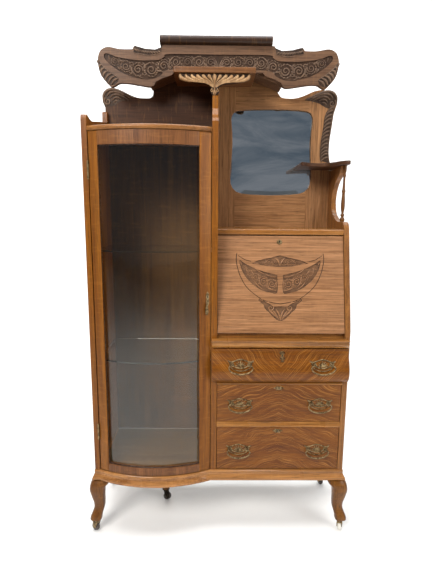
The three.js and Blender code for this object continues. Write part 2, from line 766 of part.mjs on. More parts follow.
// The back plate of a pull with its two posts; they face -Y from a front at y.
function pullMount(x, y, z, pivotY) {
  const plate = new THREE.Shape();
  plate.moveTo(-46, 20);
  plate.splineThru([new THREE.Vector2(-20, 24), new THREE.Vector2(0, 27), new THREE.Vector2(20, 24)]);
  plate.lineTo(46, 20);
  plate.lineTo(46, 6);
  plate.splineThru([new THREE.Vector2(30, -8), new THREE.Vector2(0, -16), new THREE.Vector2(-30, -8)]);
  plate.lineTo(-46, 6);
  const posts = [-1, 1].map((side) => {
    const length = y + 2 - pivotY + 2;
    return roundBar('y', 3.2, length, [x + side * (BAIL.pivotHalfSpan - 5), y + 2 - length / 2, z + 6], 10);
  });
  return [frontBoard(plate, [y - 2.5, y + 2], 2).translate(x, 0, z), ...posts];
}

function buildFlatDrawer([z0, z1], pulls) {
  const front = block([PARTITION_RIGHT + 1.5, SIDE_INNER - 1.5], [2, 22], [z0, z1]);
  const mounts = pulls.flatMap(([x, z]) => pullMount(x, 2, z, FLAT_PIVOT_Y));
  return joined(front, drawerBox(20, [z0 + 1, z1]), ...mounts);
}

// The upper drawer's front swells forward in an ogee and covers the edges of the case.
function buildOgeeDrawer([z0, z1], pulls) {
  const at = (y, z) => new THREE.Vector2(y, z);
  const shape = new THREE.Shape();
  shape.moveTo(-0.6, z0);
  shape.lineTo(-0.6, z1);
  shape.lineTo(-9, z1);
  shape.splineThru([
    at(-10, z1 - 15), at(-18, z1 - 33), at(-29, z1 - 58),
    at(-34, z1 - 84), at(-30, z1 - 108),
  ]);
  shape.lineTo(-18, z0);
  const front = sideBoard(shape, [-30, 476], 3);
  const tongue = block(DRAWER_BOX_X, [-2, 20], [z0 + 4, z1 - 3]);
  const mounts = pulls.flatMap(([x, z]) => pullMount(x, -27, z, OGEE_PIVOT_Y));
  return joined(front, tongue, drawerBox(18, [z0 + 4, z1]), ...mounts);
}

// A hanging bail, in its own frame: pivots on X, the loop below.
function buildBail() {
  const points = [
    [-BAIL.pivotHalfSpan, 0],
    [-BAIL.halfWidth + 1, -4],
    [-BAIL.halfWidth, -13],
    [-BAIL.halfWidth * 0.78, -24],
    [-BAIL.halfWidth * 0.4, -31],
    [0, -BAIL.drop],
    [BAIL.halfWidth * 0.4, -31],
    [BAIL.halfWidth * 0.78, -24],
    [BAIL.halfWidth, -13],
    [BAIL.halfWidth - 1, -4],
    [BAIL.pivotHalfSpan, 0],
  ].map(([x, z]) => new THREE.Vector3(x, 0, z));
  const path = new THREE.CatmullRomCurve3(points);
  const section = new THREE.Shape(
    Array.from({ length: 6 }, (_, i) => {
      const angle = (i / 6) * 2 * Math.PI;
      return new THREE.Vector2(BAIL.radius * Math.cos(angle), BAIL.radius * Math.sin(angle));
    }),
  );
  return new THREE.ExtrudeGeometry(section, { steps: 16, bevelEnabled: false, extrudePath: path });
}

// ---------------------------------------------------------------- back panels and mirror

// Back panel behind the china section's top, with a scrolled shoulder.
function buildBackPanel() {
  const at = (x, z) => new THREE.Vector2(x, z);
  const shape = new THREE.Shape();
  shape.moveTo(PARTITION_X - GAP, CHINA_TOP_Z[0]);
  shape.lineTo(PARTITION_X - GAP, CANOPY_TOP);
  shape.lineTo(CANOPY_X[0] + 4, CANOPY_TOP);
  shape.lineTo(CANOPY_X[0] + 4, 1735);
  shape.splineThru([at(-278, 1718), at(-290, 1709)]);
  shape.lineTo(-326, 1709);
  shape.splineThru([
    at(-352, 1714), at(-392, 1731), at(-432, 1744),
    at(-456, 1743), at(-474, 1731), at(-482, 1710),
  ]);
  shape.splineThru([at(-482, 1692), at(-473, 1672)]);
  shape.lineTo(-473, CHINA_TOP_Z[0]);
  return frontBoard(shape, UPPER_BACK_Y);
}

// The mirror's outline, grown by a margin all round.
function mirrorOutline(margin) {
  const left = MIRROR_HALF.slice(1, -1).reverse().map(([x, z]) => [-x, z]);
  const loop = new THREE.CatmullRomCurve3(
    [...MIRROR_HALF, ...left].map(([x, z]) => new THREE.Vector3(x, z, 0)),
    true,
    'centripetal',
  );
  const middle = (MIRROR_Z[0] + MIRROR_Z[1]) / 2;
  const grow = (p) => [
    MIRROR_CENTRE_X + p.x * (1 + margin / 169),
    middle + (p.y - middle) * (1 + margin / 175),
  ];
  return loop.getPoints(40).slice(0, -1).map(grow);
}

function buildMirrorFrame() {
  const at = (x, z) => new THREE.Vector2(x, z);
  const shape = new THREE.Shape();
  shape.moveTo(PARTITION_X + GAP, DESK_TOP_Z[0] + GAP);
  shape.lineTo(SIDE_INNER - GAP, DESK_TOP_Z[0] + GAP);
  shape.lineTo(SIDE_INNER - GAP, CORNER_SHELF_Z[1] - 2);
  shape.lineTo(474, CORNER_SHELF_Z[1] - 2);
  shape.splineThru([
    at(464, 1453), at(457, 1478), at(454, 1511),
    at(456, 1559), at(462, 1607), at(467, 1654),
  ]);
  shape.splineThru([
    at(474, 1678), at(479, 1699), at(475, 1718),
    at(460, 1734), at(436, 1744), at(412, 1748),
  ]);
  shape.splineThru([at(382, 1742), at(345, 1726), at(310, 1715), at(284, 1713)]);
  shape.splineThru([at(250, 1717), at(CANOPY_X[1] - 4, 1735)]);
  shape.lineTo(CANOPY_X[1] - 4, CANOPY_TOP);
  shape.lineTo(PARTITION_X + GAP, CANOPY_TOP);
  const rebateY = UPPER_BACK_Y[0] + 5;
  return cut(
    frontBoard(shape, UPPER_BACK_Y),
    frontBoard(mirrorOutline(0), [UPPER_BACK_Y[0] - 5, UPPER_BACK_Y[1] + 5]),
    frontBoard(mirrorOutline(7), [rebateY, UPPER_BACK_Y[1] + 5]),
  );
}

function buildMirrorPlate() {
  const front = UPPER_BACK_Y[0] + 5 + GAP;
  return frontBoard(mirrorOutline(6), [front, front + 5]);
}

// ---------------------------------------------------------------- canopy and crest

// The crest board's outline: its left half mirrors its right half.
function crestOutline() {
  const right = [...CREST_HALF.top, ...CREST_HALF.notch];
  const left = [...right].reverse().map(([x, z]) => [-x, z]);
  return [...right, ...left].map(([x, z]) => [CREST_CENTRE_X + x, z]);
}

function buildCrest() {
  return frontBoard(crestOutline().reverse(), CREST_Y);
}

// A top board with a half-round front edge.
function buildCrestCap() {
  const [bottom, top] = CAP_Z;
  const radius = (top - bottom) / 2;
  const shape = new THREE.Shape();
  shape.moveTo(CAP_Y[1], bottom);
  shape.lineTo(CAP_Y[1], top);
  shape.lineTo(CAP_Y[0] + radius, top);
  shape.absarc(CAP_Y[0] + radius, bottom + radius, radius, Math.PI / 2, Math.PI * 1.5, false);
  return sideBoard(shape, CAP_X, 10);
}

// The box behind the crest: a soffit that rises in the middle, two ends and a top.
function buildCanopy() {
  const [x0, x1] = CANOPY_X;
  const wall = 12;
  const soffit = CANDLE_SHELF_Z[1] + GAP;
  const bottom = CANOPY_SIDE_BOTTOM;
  const outer = [
    [x0, CANOPY_TOP],
    [x0, bottom],
    [CANDLE_SHELF_X[0] - 2, soffit],
    [CANDLE_SHELF_X[1] + 2, soffit],
    [x1, bottom],
    [x1, CANOPY_TOP],
  ];
  const inner = [
    [x0 + wall, CANOPY_TOP - wall],
    [x0 + wall, bottom + 18],
    [CANDLE_SHELF_X[0] - 4, soffit + wall],
    [CANDLE_SHELF_X[1] + 4, soffit + wall],
    [x1 - wall, bottom + 18],
    [x1 - wall, CANOPY_TOP - wall],
  ];
  const depth = [CREST_Y[1] + GAP, CASE_DEPTH - GAP];
  const hollow = frontBoard(inner, [depth[0] - 5, depth[1] + 5]);
  return cut(frontBoard(outer, depth), hollow);
}

function buildCandleShelf() {
  const [x0, x1] = CANDLE_SHELF_X;
  const [y0, y1] = CANDLE_SHELF_Y;
  const plan = [[x0, y1], [x0, y0 + 4], [x0 + 4, y0], [x1 - 4, y0], [x1, y0 + 4], [x1, y1]];
  return planBoard(plan, CANDLE_SHELF_Z);
}

// The carved shell under the candle shelf: a fan of lobes that narrows to a stem.
function buildShellBracket() {
  const right = [
    [124, -1],
    [121, -12],
    [104, -23],
    [60, -32],
    [32, -38],
    [17, -48],
    [12, -60],
    [19, -68],
    [10, -74],
    [3, -79],
  ];
  const left = [...right].reverse().map(([x, z]) => [-x, z]);
  const top = CANDLE_SHELF_Z[0] - GAP;
  const outline = [...right, ...left].map(([x, z]) => [PARTITION_X - 3 + x, top + 1 + z]);
  return frontBoard(outline.reverse(), [152, 178 - GAP]);
}

// ---------------------------------------------------------------- corner shelf and spindle

function buildCornerShelf() {
  const at = (x, y) => new THREE.Vector2(x, y);
  const shape = new THREE.Shape();
  shape.moveTo(484, CASE_DEPTH - GAP);
  shape.lineTo(312, CASE_DEPTH - GAP);
  shape.lineTo(307, 170);
  shape.splineThru([
    at(309, 159), at(318, 160), at(346, 184),
    at(380, 192), at(410, 183), at(430, 150),
  ]);
  shape.splineThru([
    at(446, 117), at(459, 101), at(470, 96),
    at(478, 103), at(482, 130), at(484, 170),
  ]);
  return planBoard(shape, CORNER_SHELF_Z, 4);
}

function buildSpindle() {
  const bottom = EAR_TOP + GAP;
  const length = CORNER_SHELF_Z[0] - GAP - bottom;
  const profile = [
    [0, 0],
    [8, 0],
    [9.5, 0.03],
    [8, 0.065],
    [5, 0.085],
    [7.5, 0.11],
    [7.5, 0.13],
    [4.5, 0.155],
    [7.2, 0.24],
    [7.6, 0.35],
    [5.6, 0.5],
    [6.8, 0.53],
    [6.8, 0.56],
    [5.2, 0.59],
    [4.4, 0.78],
    [6.6, 0.82],
    [4.6, 0.86],
    [6.6, 0.895],
    [7.6, 0.94],
    [7.6, 1],
    [0, 1],
  ].map(([r, t]) => new THREE.Vector2(r, t * length));
  return new THREE.LatheGeometry(profile, 10).rotateX(Math.PI / 2).translate(SPINDLE.x, SPINDLE.y, bottom);
}

// ---------------------------------------------------------------- assembly

addPart(cabinet, 'left_side_panel', buildLeftSide(), OAK);
addPart(cabinet, 'partition', buildPartition(), OAK);
addPart(cabinet, 'right_side_panel', buildRightSide(), OAK);
addPart(
  cabinet,
  'china_back',
  block(
    [-CASE_HALF_WIDTH + 4, PARTITION_X - GAP],
    [CASE_DEPTH, CASE_DEPTH + BACK_THICKNESS],
    [BASE_TOP, CHINA_TOP_Z[0] - GAP],
  ),
  BACK_WOOD,
);
addPart(
  cabinet,
  'desk_back',
  block(
    [PARTITION_X + GAP, CASE_HALF_WIDTH - 4],
    [CASE_DEPTH, CASE_DEPTH + BACK_THICKNESS],
    [BASE_TOP, DESK_TOP_Z[0]],
  ),
  BACK_WOOD,
);
addPart(cabinet, 'base_moulding', buildBaseMoulding(), OAK);
addPart(cabinet, 'case_bottom', buildCaseBottom(), OAK_DARK);
addPart(cabinet, 'china_top', buildChinaTop(), OAK);
addPart(cabinet, 'desk_top', buildDeskTop(), OAK);
addPart(cabinet, 'drawer_rail_upper', buildRail(RAIL_UPPER_Z, 6), OAK);
addPart(cabinet, 'drawer_rail_lower', buildRail(RAIL_LOWER_Z, 7), OAK);
addPart(cabinet, 'ledge_board', buildLedge(), OAK_GOLD);
addPart(cabinet, 'writing_board', buildWritingBoard(), OAK_GOLD);
addPart(cabinet, 'pigeonhole_unit', buildPigeonholes(), INNER_WOOD);
addPart(cabinet, 'back_panel', buildBackPanel(), OAK_DARK);
addPart(cabinet, 'mirror_frame', buildMirrorFrame(), OAK);
addPart(cabinet, 'mirror_plate', buildMirrorPlate(), MIRROR);
addPart(cabinet, 'canopy', buildCanopy(), OAK_DARK);
addPart(cabinet, 'crest_board', buildCrest(), OAK_DARK);
addPart(cabinet, 'crest_cap', buildCrestCap(), OAK_DARK);
addPart(cabinet, 'candle_shelf', buildCandleShelf(), OAK);
addPart(cabinet, 'shell_bracket', buildShellBracket(), OAK_GOLD);
addPart(cabinet, 'corner_shelf', buildCornerShelf(), OAK);
addPart(cabinet, 'spindle', buildSpindle(), OAK_GOLD);

SHELF_LEVELS.forEach((level, i) => {
  const name = ['glass_shelf_lower', 'glass_shelf_upper'][i];
  addPart(cabinet, name, buildGlassShelf(), GLASS).position.z = level + GAP;
});

// Legs stand at the corners of the case; their blocks fill the corners of the base.
[-1, 1].forEach((side) => {
  const word = side < 0 ? 'left' : 'right';
  const inward = side < 0 ? [24, 62] : [-62, -24];
  const front = addGroup(cabinet, side * LEG_CORNER_X, 0, 0);
  addPart(front, `front_${word}_leg`, buildCabrioleLeg(side, -1, inward, [24, 60]), OAK_GOLD);
  const rear = addGroup(cabinet, side * LEG_CORNER_X, REAR_LEG_Y, 0);
  addPart(rear, `rear_${word}_leg`, buildCabrioleLeg(side, 0, inward, [-30, 30]), OAK_DARK);
  const footX = side * (LEG_CORNER_X + FOOT_OUT);
  const frontWheel = side < 0 ? WHEEL_WOOD : PORCELAIN;
  addCaster(`front_${word}`, footX, -FOOT_OUT, side < 0 ? 60 : -14, BRASS, frontWheel);
  addCaster(`rear_${word}`, footX, REAR_LEG_Y, side * 20, BRASS, WHEEL_WOOD);
});
addPart(addGroup(cabinet, CENTRE_LEG.x, CENTRE_LEG.y, 0), 'centre_leg', buildCentreLeg(), OAK_DARK);
addCaster('centre', CENTRE_LEG.x, CENTRE_LEG.y, -75, IRON, WHEEL_WOOD);

// The door and its hinges.
addPart(cabinet, 'door_frame', buildDoorFrame(), OAK);
addPart(cabinet, 'door_glass', buildDoorGlass(), GLASS);
DOOR_HINGE.levels.forEach(([word, z]) => {
  addPart(addGroup(cabinet, DOOR_HINGE.x, DOOR_HINGE.y, z), `door_hinge_${word}`, buildDoorHinge(), BRASS);
});
const doorDrop = addGroup(cabinet, DOOR_DROP.x, bowY(DOOR_DROP.x) - 9, DOOR_DROP.z);
doorDrop.rotation.z = Math.asin((DOOR_DROP.x - BOW_CENTRE_X) / BOW_RADIUS);
addPart(doorDrop, 'door_pull_drop', buildDoorDrop(), BRASS);

// The lid leans back on its hinge line; when it is shut the stay's arm runs back from it.
const lidGroup = addGroup(cabinet, 0, LID_PIVOT.y, LID_PIVOT.z);
lidGroup.rotation.x = -LEAN;
addPart(lidGroup, 'fall_front', buildLid(), OAK);
LID_HINGE_X.forEach((x, i) => {
  const name = ['lid_hinge_left', 'lid_hinge_right'][i];
  addPart(addGroup(cabinet, x, LID_PIVOT.y, LID_PIVOT.z), name, buildLidHinge(), BRASS);
});
const stayAngle = Math.atan2(STAY_OFFSET, STAY_REACH);
const stayRadius = Math.hypot(STAY_OFFSET, STAY_REACH);
const stayPivot = addGroup(lidGroup, 0, STAY_OFFSET, STAY_REACH);
stayPivot.rotation.x = -(stayAngle + STAY_SET_BACK / 2);
addPart(stayPivot, 'stay_arm', buildStayArm(), BRASS);
const studLean = LEAN + stayAngle + STAY_SET_BACK;
const stud = addGroup(
  cabinet,
  0,
  LID_PIVOT.y + stayRadius * Math.sin(studLean),
  LID_PIVOT.z + stayRadius * Math.cos(studLean),
);
addPart(stud, 'stay_stud', buildStayStud(), BRASS);

// Drawers with two pulls each.
const pullsOf = (i) => PULL_X[i].map((x) => [x, PULL_Z[i]]);
const UPPER_FRONT_Z = [RAIL_UPPER_Z[1], LEDGE_Z[0] - 4];
const MIDDLE_FRONT_Z = [RAIL_LOWER_Z[1] + 1, RAIL_UPPER_Z[0] - 0.6];
const LOWER_FRONT_Z = [BASE_TOP + 1.5, RAIL_LOWER_Z[0] - 0.6];
addPart(cabinet, 'drawer_upper', buildOgeeDrawer(UPPER_FRONT_Z, pullsOf(0)), OAK);
addPart(cabinet, 'drawer_middle', buildFlatDrawer(MIDDLE_FRONT_Z, pullsOf(1)), OAK);
addPart(cabinet, 'drawer_lower', buildFlatDrawer(LOWER_FRONT_Z, pullsOf(2)), OAK);
['upper', 'middle', 'lower'].forEach((level, i) => {
  PULL_X[i].forEach((x, j) => {
    const bail = addGroup(cabinet, x, PIVOT_Y[i], PULL_Z[i] + 6);
    addPart(bail, `bail_${level}_${j === 0 ? 'left' : 'right'}`, buildBail(), BRASS);
  });
});

// ---------------------------------------------------------------- origin

const whole = new THREE.Box3().setFromObject(cabinet);
const centre = whole.getCenter(new THREE.Vector3());
cabinet.position.set(-centre.x, -centre.y, -whole.min.z);
cabinet.updateMatrixWorld(true);

export default cabinet;
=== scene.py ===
import math

import bmesh
import bpy
from mathutils import Matrix, Vector
from mathutils.geometry import tessellate_polygon


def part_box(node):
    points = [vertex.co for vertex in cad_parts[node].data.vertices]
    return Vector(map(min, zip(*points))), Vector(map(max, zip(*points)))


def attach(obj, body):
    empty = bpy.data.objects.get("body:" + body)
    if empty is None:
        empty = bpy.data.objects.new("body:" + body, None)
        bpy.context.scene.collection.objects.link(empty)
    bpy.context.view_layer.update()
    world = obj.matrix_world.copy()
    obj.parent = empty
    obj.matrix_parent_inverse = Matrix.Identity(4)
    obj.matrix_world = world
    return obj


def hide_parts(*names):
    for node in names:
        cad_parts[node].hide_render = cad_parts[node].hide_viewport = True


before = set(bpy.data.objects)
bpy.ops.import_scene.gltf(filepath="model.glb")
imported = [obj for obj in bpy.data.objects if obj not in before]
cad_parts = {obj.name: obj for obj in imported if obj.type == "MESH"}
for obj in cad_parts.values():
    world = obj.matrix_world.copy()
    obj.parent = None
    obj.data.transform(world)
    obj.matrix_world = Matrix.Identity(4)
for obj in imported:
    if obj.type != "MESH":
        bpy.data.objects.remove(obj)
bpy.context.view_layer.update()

MM = 0.001
LEFT_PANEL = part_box("left_side_panel")
RIGHT_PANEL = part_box("right_side_panel")
CASE_ORIGIN = Vector(((LEFT_PANEL[0].x + RIGHT_PANEL[1].x) / 2, LEFT_PANEL[0].y, 0.0))
TO_FRAME = Matrix.Translation(CASE_ORIGIN) @ Matrix.Scale(MM, 4)


def span(node, axis):
    """A CAD node's lowest and highest value on an axis, in millimetres of the case."""
    low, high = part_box(node)
    origin = CASE_ORIGIN[axis]
    return (low[axis] - origin) / MM, (high[axis] - origin) / MM


# ---- node materials


def rgb(red, green, blue):
    """A colour given as 0-255 display values, as linear RGBA."""
    return tuple((c / 255) ** 2.2 for c in (red, green, blue)) + (1.0,)


class Shader:
    """A node material with one Principled shader, and short calls that add nodes to it."""

    def __init__(self, name, **values):
        self.material = bpy.data.materials.new(name)
        self.material.use_nodes = True
        self.tree = self.material.node_tree
        self.tree.nodes.clear()
        self.bsdf = self.add("BsdfPrincipled")
        self.put(self.bsdf.outputs[0], self.add("OutputMaterial").inputs["Surface"])
        for key, value in values.items():
            self.bsdf.inputs[key.replace("_", " ")].default_value = value

    def add(self, kind, **settings):
        node = self.tree.nodes.new("ShaderNode" + kind)
        for key, value in settings.items():
            setattr(node, key, value)
        return node

    def put(self, value, socket):
        if isinstance(value, bpy.types.NodeSocket):
            self.tree.links.new(value, socket)
        else:
            socket.default_value = value

    def place(self):
        return self.add("TexCoord").outputs["Object"]

    def moved(self, vector, location=(0, 0, 0), rotation=(0, 0, 0), scale=(1, 1, 1)):
        node = self.add("Mapping")
        self.put(vector, node.inputs["Vector"])
        node.inputs["Location"].default_value = location
        node.inputs["Rotation"].default_value = rotation
        node.inputs["Scale"].default_value = scale
        return node.outputs[0]

    def split(self, vector):
        node = self.add("SeparateXYZ")
        self.put(vector, node.inputs[0])
        return node.outputs

    def math(self, operation, a, b=0.0):
        node = self.add("Math", operation=operation)
        self.put(a, node.inputs[0])
        self.put(b, node.inputs[1])
        return node.outputs[0]

    def noise(self, vector, scale=1.0, detail=2.0, roughness=0.5, distortion=0.0):
        node = self.add("TexNoise")
        self.put(vector, node.inputs["Vector"])
        node.inputs["Scale"].default_value = scale
        node.inputs["Detail"].default_value = detail
        node.inputs["Roughness"].default_value = roughness
        node.inputs["Distortion"].default_value = distortion
        return node.outputs[0]

    def between(self, value, low, high, start=0.0, end=1.0):
        """value from low..high as start..end, held at both ends."""
        node = self.add("MapRange", clamp=True)
        for socket, number in zip(node.inputs[:5], (value, low, high, start, end)):
            self.put(number, socket)
        return node.outputs[0]

    def mix(self, share, a, b):
        node = self.add("Mix", data_type="RGBA")
        self.put(share, node.inputs[0])
        self.put(a, node.inputs[6])
        self.put(b, node.inputs[7])
        return node.outputs[2]

    def bump(self, height, strength, distance):
        node = self.add("Bump")
        node.inputs["Strength"].default_value = strength
        node.inputs["Distance"].default_value = distance
        self.put(height, node.inputs["Height"])
        self.put(node.outputs[0], self.bsdf.inputs["Normal"])

    def finish(self, colour, roughness=None):
        self.put(colour, self.bsdf.inputs["Base Color"])
        if roughness is not None:
            self.put(roughness, self.bsdf.inputs["Roughness"])
        return self.material


# Turns that bring each grain direction onto the texture's Z.
GRAIN_TURN = {"z": (0, 0, 0), "x": (0, math.pi / 2, 0), "y": (math.pi / 2, 0, 0)}
STREAK_BROWN = (0.02, 0.01, 0.004, 1)
PORE_BROWN = (0.012, 0.006, 0.003, 1)
RAY_GOLD = rgb(206, 144, 70)
HAIRS_UP_THE_GRAIN = 620  # how closely the fine hairs of a flame lie


def oak(
    name,
    dark,
    light,
    grain="z",
    seed=0.0,
    fleck=0.08,
    flame=None,
    gloss=0.3,
    ground=None,
    coat=0.12,
    rings_at=42,
    rings_along=1.7,
    between_stiles=None,
):
    """Varnished quarter-sawn oak. flame is (middle X in metres, slope) for a veneer whose
    flecks run up or down from its middle. ground is a darker colour in the hollows: old finish
    and painted shade.
    between_stiles is the X range, in metres, outside which the grain turns upright."""
    s = Shader(name, Coat_Weight=coat, Coat_Roughness=0.14, IOR=1.45, Specular_IOR_Level=0.25)
    place = s.place()
    offset = (seed * 0.37, seed * 0.61, seed * 0.83)
    board = s.moved(place, location=offset, rotation=GRAIN_TURN[grain])
    if between_stiles:
        x = s.split(place)[0]
        past_left = s.math("GREATER_THAN", x, between_stiles[0])
        short_of_right = s.math("LESS_THAN", x, between_stiles[1])
        upright = s.moved(place, location=(seed * 0.21, seed * 0.43, seed * 0.57))
        board = s.mix(s.math("MULTIPLY", past_left, short_of_right), upright, board)
    ringed = s.moved(board, scale=(rings_at, rings_at, rings_along))
    rings = s.noise(ringed, detail=5, roughness=0.62, distortion=0.7)
    fibres = s.noise(s.moved(board, scale=(260, 260, 6)), detail=3, roughness=0.6)
    pores = s.noise(s.moved(board, scale=(800, 800, 22)), detail=1)
    cloud = s.noise(board, scale=3.1, detail=2)

    if flame:
        middle, slope = flame
        x, y, z = s.split(place)
        aside = s.math("ABSOLUTE", s.math("SUBTRACT", x, middle))
        wave = s.math("MULTIPLY", s.noise(s.moved(place, scale=(9, 9, 14)), detail=1), 0.055)
        rise = s.math("ADD", s.math("ADD", z, wave), s.math("MULTIPLY", aside, slope))
        joined = s.add("CombineXYZ")
        for value, socket in zip((aside, y, rise), joined.inputs):
            s.put(value, socket)
        warped = joined.outputs[0]
        across = s.moved(warped, location=(seed, 0, seed), scale=(8, 16, 330))
        rings = s.noise(s.moved(warped, scale=(3, 3, 34)), detail=5, roughness=0.7)
    else:
        across = s.moved(board, rotation=(0.3, 0.35, 0), scale=(17, 17, 130))
    rays = s.noise(across, detail=2, roughness=0.5, distortion=0.35)

    colour = s.mix(s.between(rings, 0.3, 0.72, 0.12, 0.88), dark, light)
    colour = s.mix(s.between(cloud, 0.35, 0.7, 0.0, 0.35), colour, s.mix(0.5, colour, dark))
    streak = s.between(fibres, 0.42, 0.66, 0.0, 0.72)
    colour = s.mix(streak, colour, s.mix(0.5, colour, STREAK_BROWN))
    ray = s.between(rays, 0.585, 0.65, 0.0, fleck)
    if flame:
        fine = s.moved(warped, location=(0, seed, 0), scale=(16, 16, HAIRS_UP_THE_GRAIN))
        hairs = s.noise(fine, detail=2)
        ray = s.math("MAXIMUM", ray, s.between(hairs, 0.6, 0.66, 0.0, 0.8 * fleck))
    colour = s.mix(ray, colour, s.mix(0.6, light, RAY_GOLD))
    pore = s.between(pores, 0.62, 0.7, 0.0, 0.6)
    colour = s.mix(pore, colour, PORE_BROWN)
    # Darker in the hollows: old finish and painted shade.
    if ground is not None:
        hollow = s.add("Attribute", attribute_name="hollow").outputs["Fac"]
        patchiness = s.between(s.noise(place, scale=55, detail=3), 0.35, 0.65, 0.72, 1.0)
        hollow = s.math("MULTIPLY", hollow, patchiness)
        colour = s.mix(hollow, colour, ground)
    height = s.math("SUBTRACT", s.math("MULTIPLY", fibres, 0.35), pore)
    s.bump(height, 0.35, 0.0004)
    rough = s.between(cloud, 0.3, 0.7, gloss, gloss + 0.14)
    if ground is not None:
        rough = s.math("ADD", rough, s.math("MULTIPLY", hollow, 0.35))
    return s.finish(colour, rough)


def antique_metal(name, base, tarnish, roughness=0.36):
    """Cast metal, bright where it is handled and tarnished in patches."""
    s = Shader(name, Metallic=0.92)
    place = s.place()
    patches = s.noise(place, scale=90, detail=4, roughness=0.65)
    grit = s.noise(place, scale=900, detail=2)
    colour = s.mix(s.between(patches, 0.42, 0.62), base, tarnish)
    s.bump(s.math("ADD", grit, patches), 0.25, 0.0003)
    return s.finish(colour, s.between(patches, 0.35, 0.7, roughness, roughness + 0.25))


def back_wood(name, dark, light, seed):
    """Unvarnished boards, dusty and dull."""
    s = Shader(name)
    board = s.moved(s.place(), location=(seed, seed, seed))
    grain = s.noise(s.moved(board, scale=(60, 60, 2.2)), detail=5, roughness=0.65, distortion=0.4)
    dust = s.noise(board, scale=7, detail=3)
    colour = s.mix(s.between(grain, 0.35, 0.65), dark, light)
    colour = s.mix(s.between(dust, 0.45, 0.7, 0, 0.3), colour, rgb(150, 138, 120))
    s.bump(grain, 0.3, 0.0006)
    return s.finish(colour, s.between(dust, 0.3, 0.7, 0.6, 0.8))


def clear_glass(name, tint):
    """Clear glass with a faint film here and there."""
    s = Shader(name, Transmission_Weight=1.0, Roughness=0.0, IOR=1.45)
    film = s.noise(s.place(), scale=5, detail=3)
    return s.finish(s.mix(s.between(film, 0.4, 0.8, 0.0, 0.3), tint, (0.72, 0.74, 0.7, 1)))


def silvering(name):
    """Mirror glass with a streaky haze and small grey spots."""
    s = Shader(name, Metallic=1.0)
    place = s.place()
    spots = s.noise(place, scale=120, detail=4, roughness=0.7)
    haze = s.noise(s.moved(place, scale=(3, 3, 11)), detail=6, roughness=0.62, distortion=0.8)
    colour = s.mix(s.between(haze, 0.36, 0.66), rgb(168, 186, 198), rgb(240, 246, 248))
    colour = s.mix(s.between(spots, 0.7, 0.76, 0, 0.6), colour, rgb(86, 80, 72))
    return s.finish(colour, s.between(haze, 0.3, 0.8, 0.02, 0.06))


def glazed(name, base):
    """Smooth turned material for wheels and buttons, with small scuffs."""
    s = Shader(name, Coat_Weight=0.4, Coat_Roughness=0.1)
    scuffs = s.noise(s.place(), scale=260, detail=4, roughness=0.7)
    worn = s.mix(0.5, base, (0.05, 0.04, 0.03, 1))
    colour = s.mix(s.between(scuffs, 0.55, 0.75, 0, 0.6), base, worn)
    s.bump(scuffs, 0.12, 0.0003)
    return s.finish(colour, s.between(scuffs, 0.4, 0.8, 0.22, 0.45))


# Dark and light tones of each wood.
CASE_TONES = rgb(90, 47, 10), rgb(152, 95, 30)
WARM_TONES = rgb(94, 56, 26), rgb(162, 110, 60)
LID_TONES = rgb(112, 75, 46), rgb(180, 132, 94)
FRONT_TONES = rgb(82, 42, 6), rgb(134, 79, 16)
CREST_TONES = rgb(60, 40, 28), rgb(124, 93, 70)
# The carving tones are a little lighter than the crest's oak: painted highlight on the raised carving.
CARVING_TONES = rgb(72, 53, 41), rgb(132, 107, 87)
# The panel tones are darkened as painted shade, for the shadow that the canopy casts on the back
# panels.
SHADED_PANEL_TONES = rgb(46, 28, 18), rgb(86, 56, 36)
# Colour of the hollows: old dark finish and painted shade.
GLAZE_AND_SHADE = rgb(24, 15, 11)

FRAME_STILE_LAP = 0.026  # how far each stile of the mirror frame reaches in, in metres
mirror_low, mirror_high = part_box("mirror_plate")
frame_rails = (mirror_low.x + FRAME_STILE_LAP, mirror_high.x - FRAME_STILE_LAP)
POLISHED = {"gloss": 0.2, "coat": 0.3}
DULL = {"gloss": 0.5, "coat": 0.0}

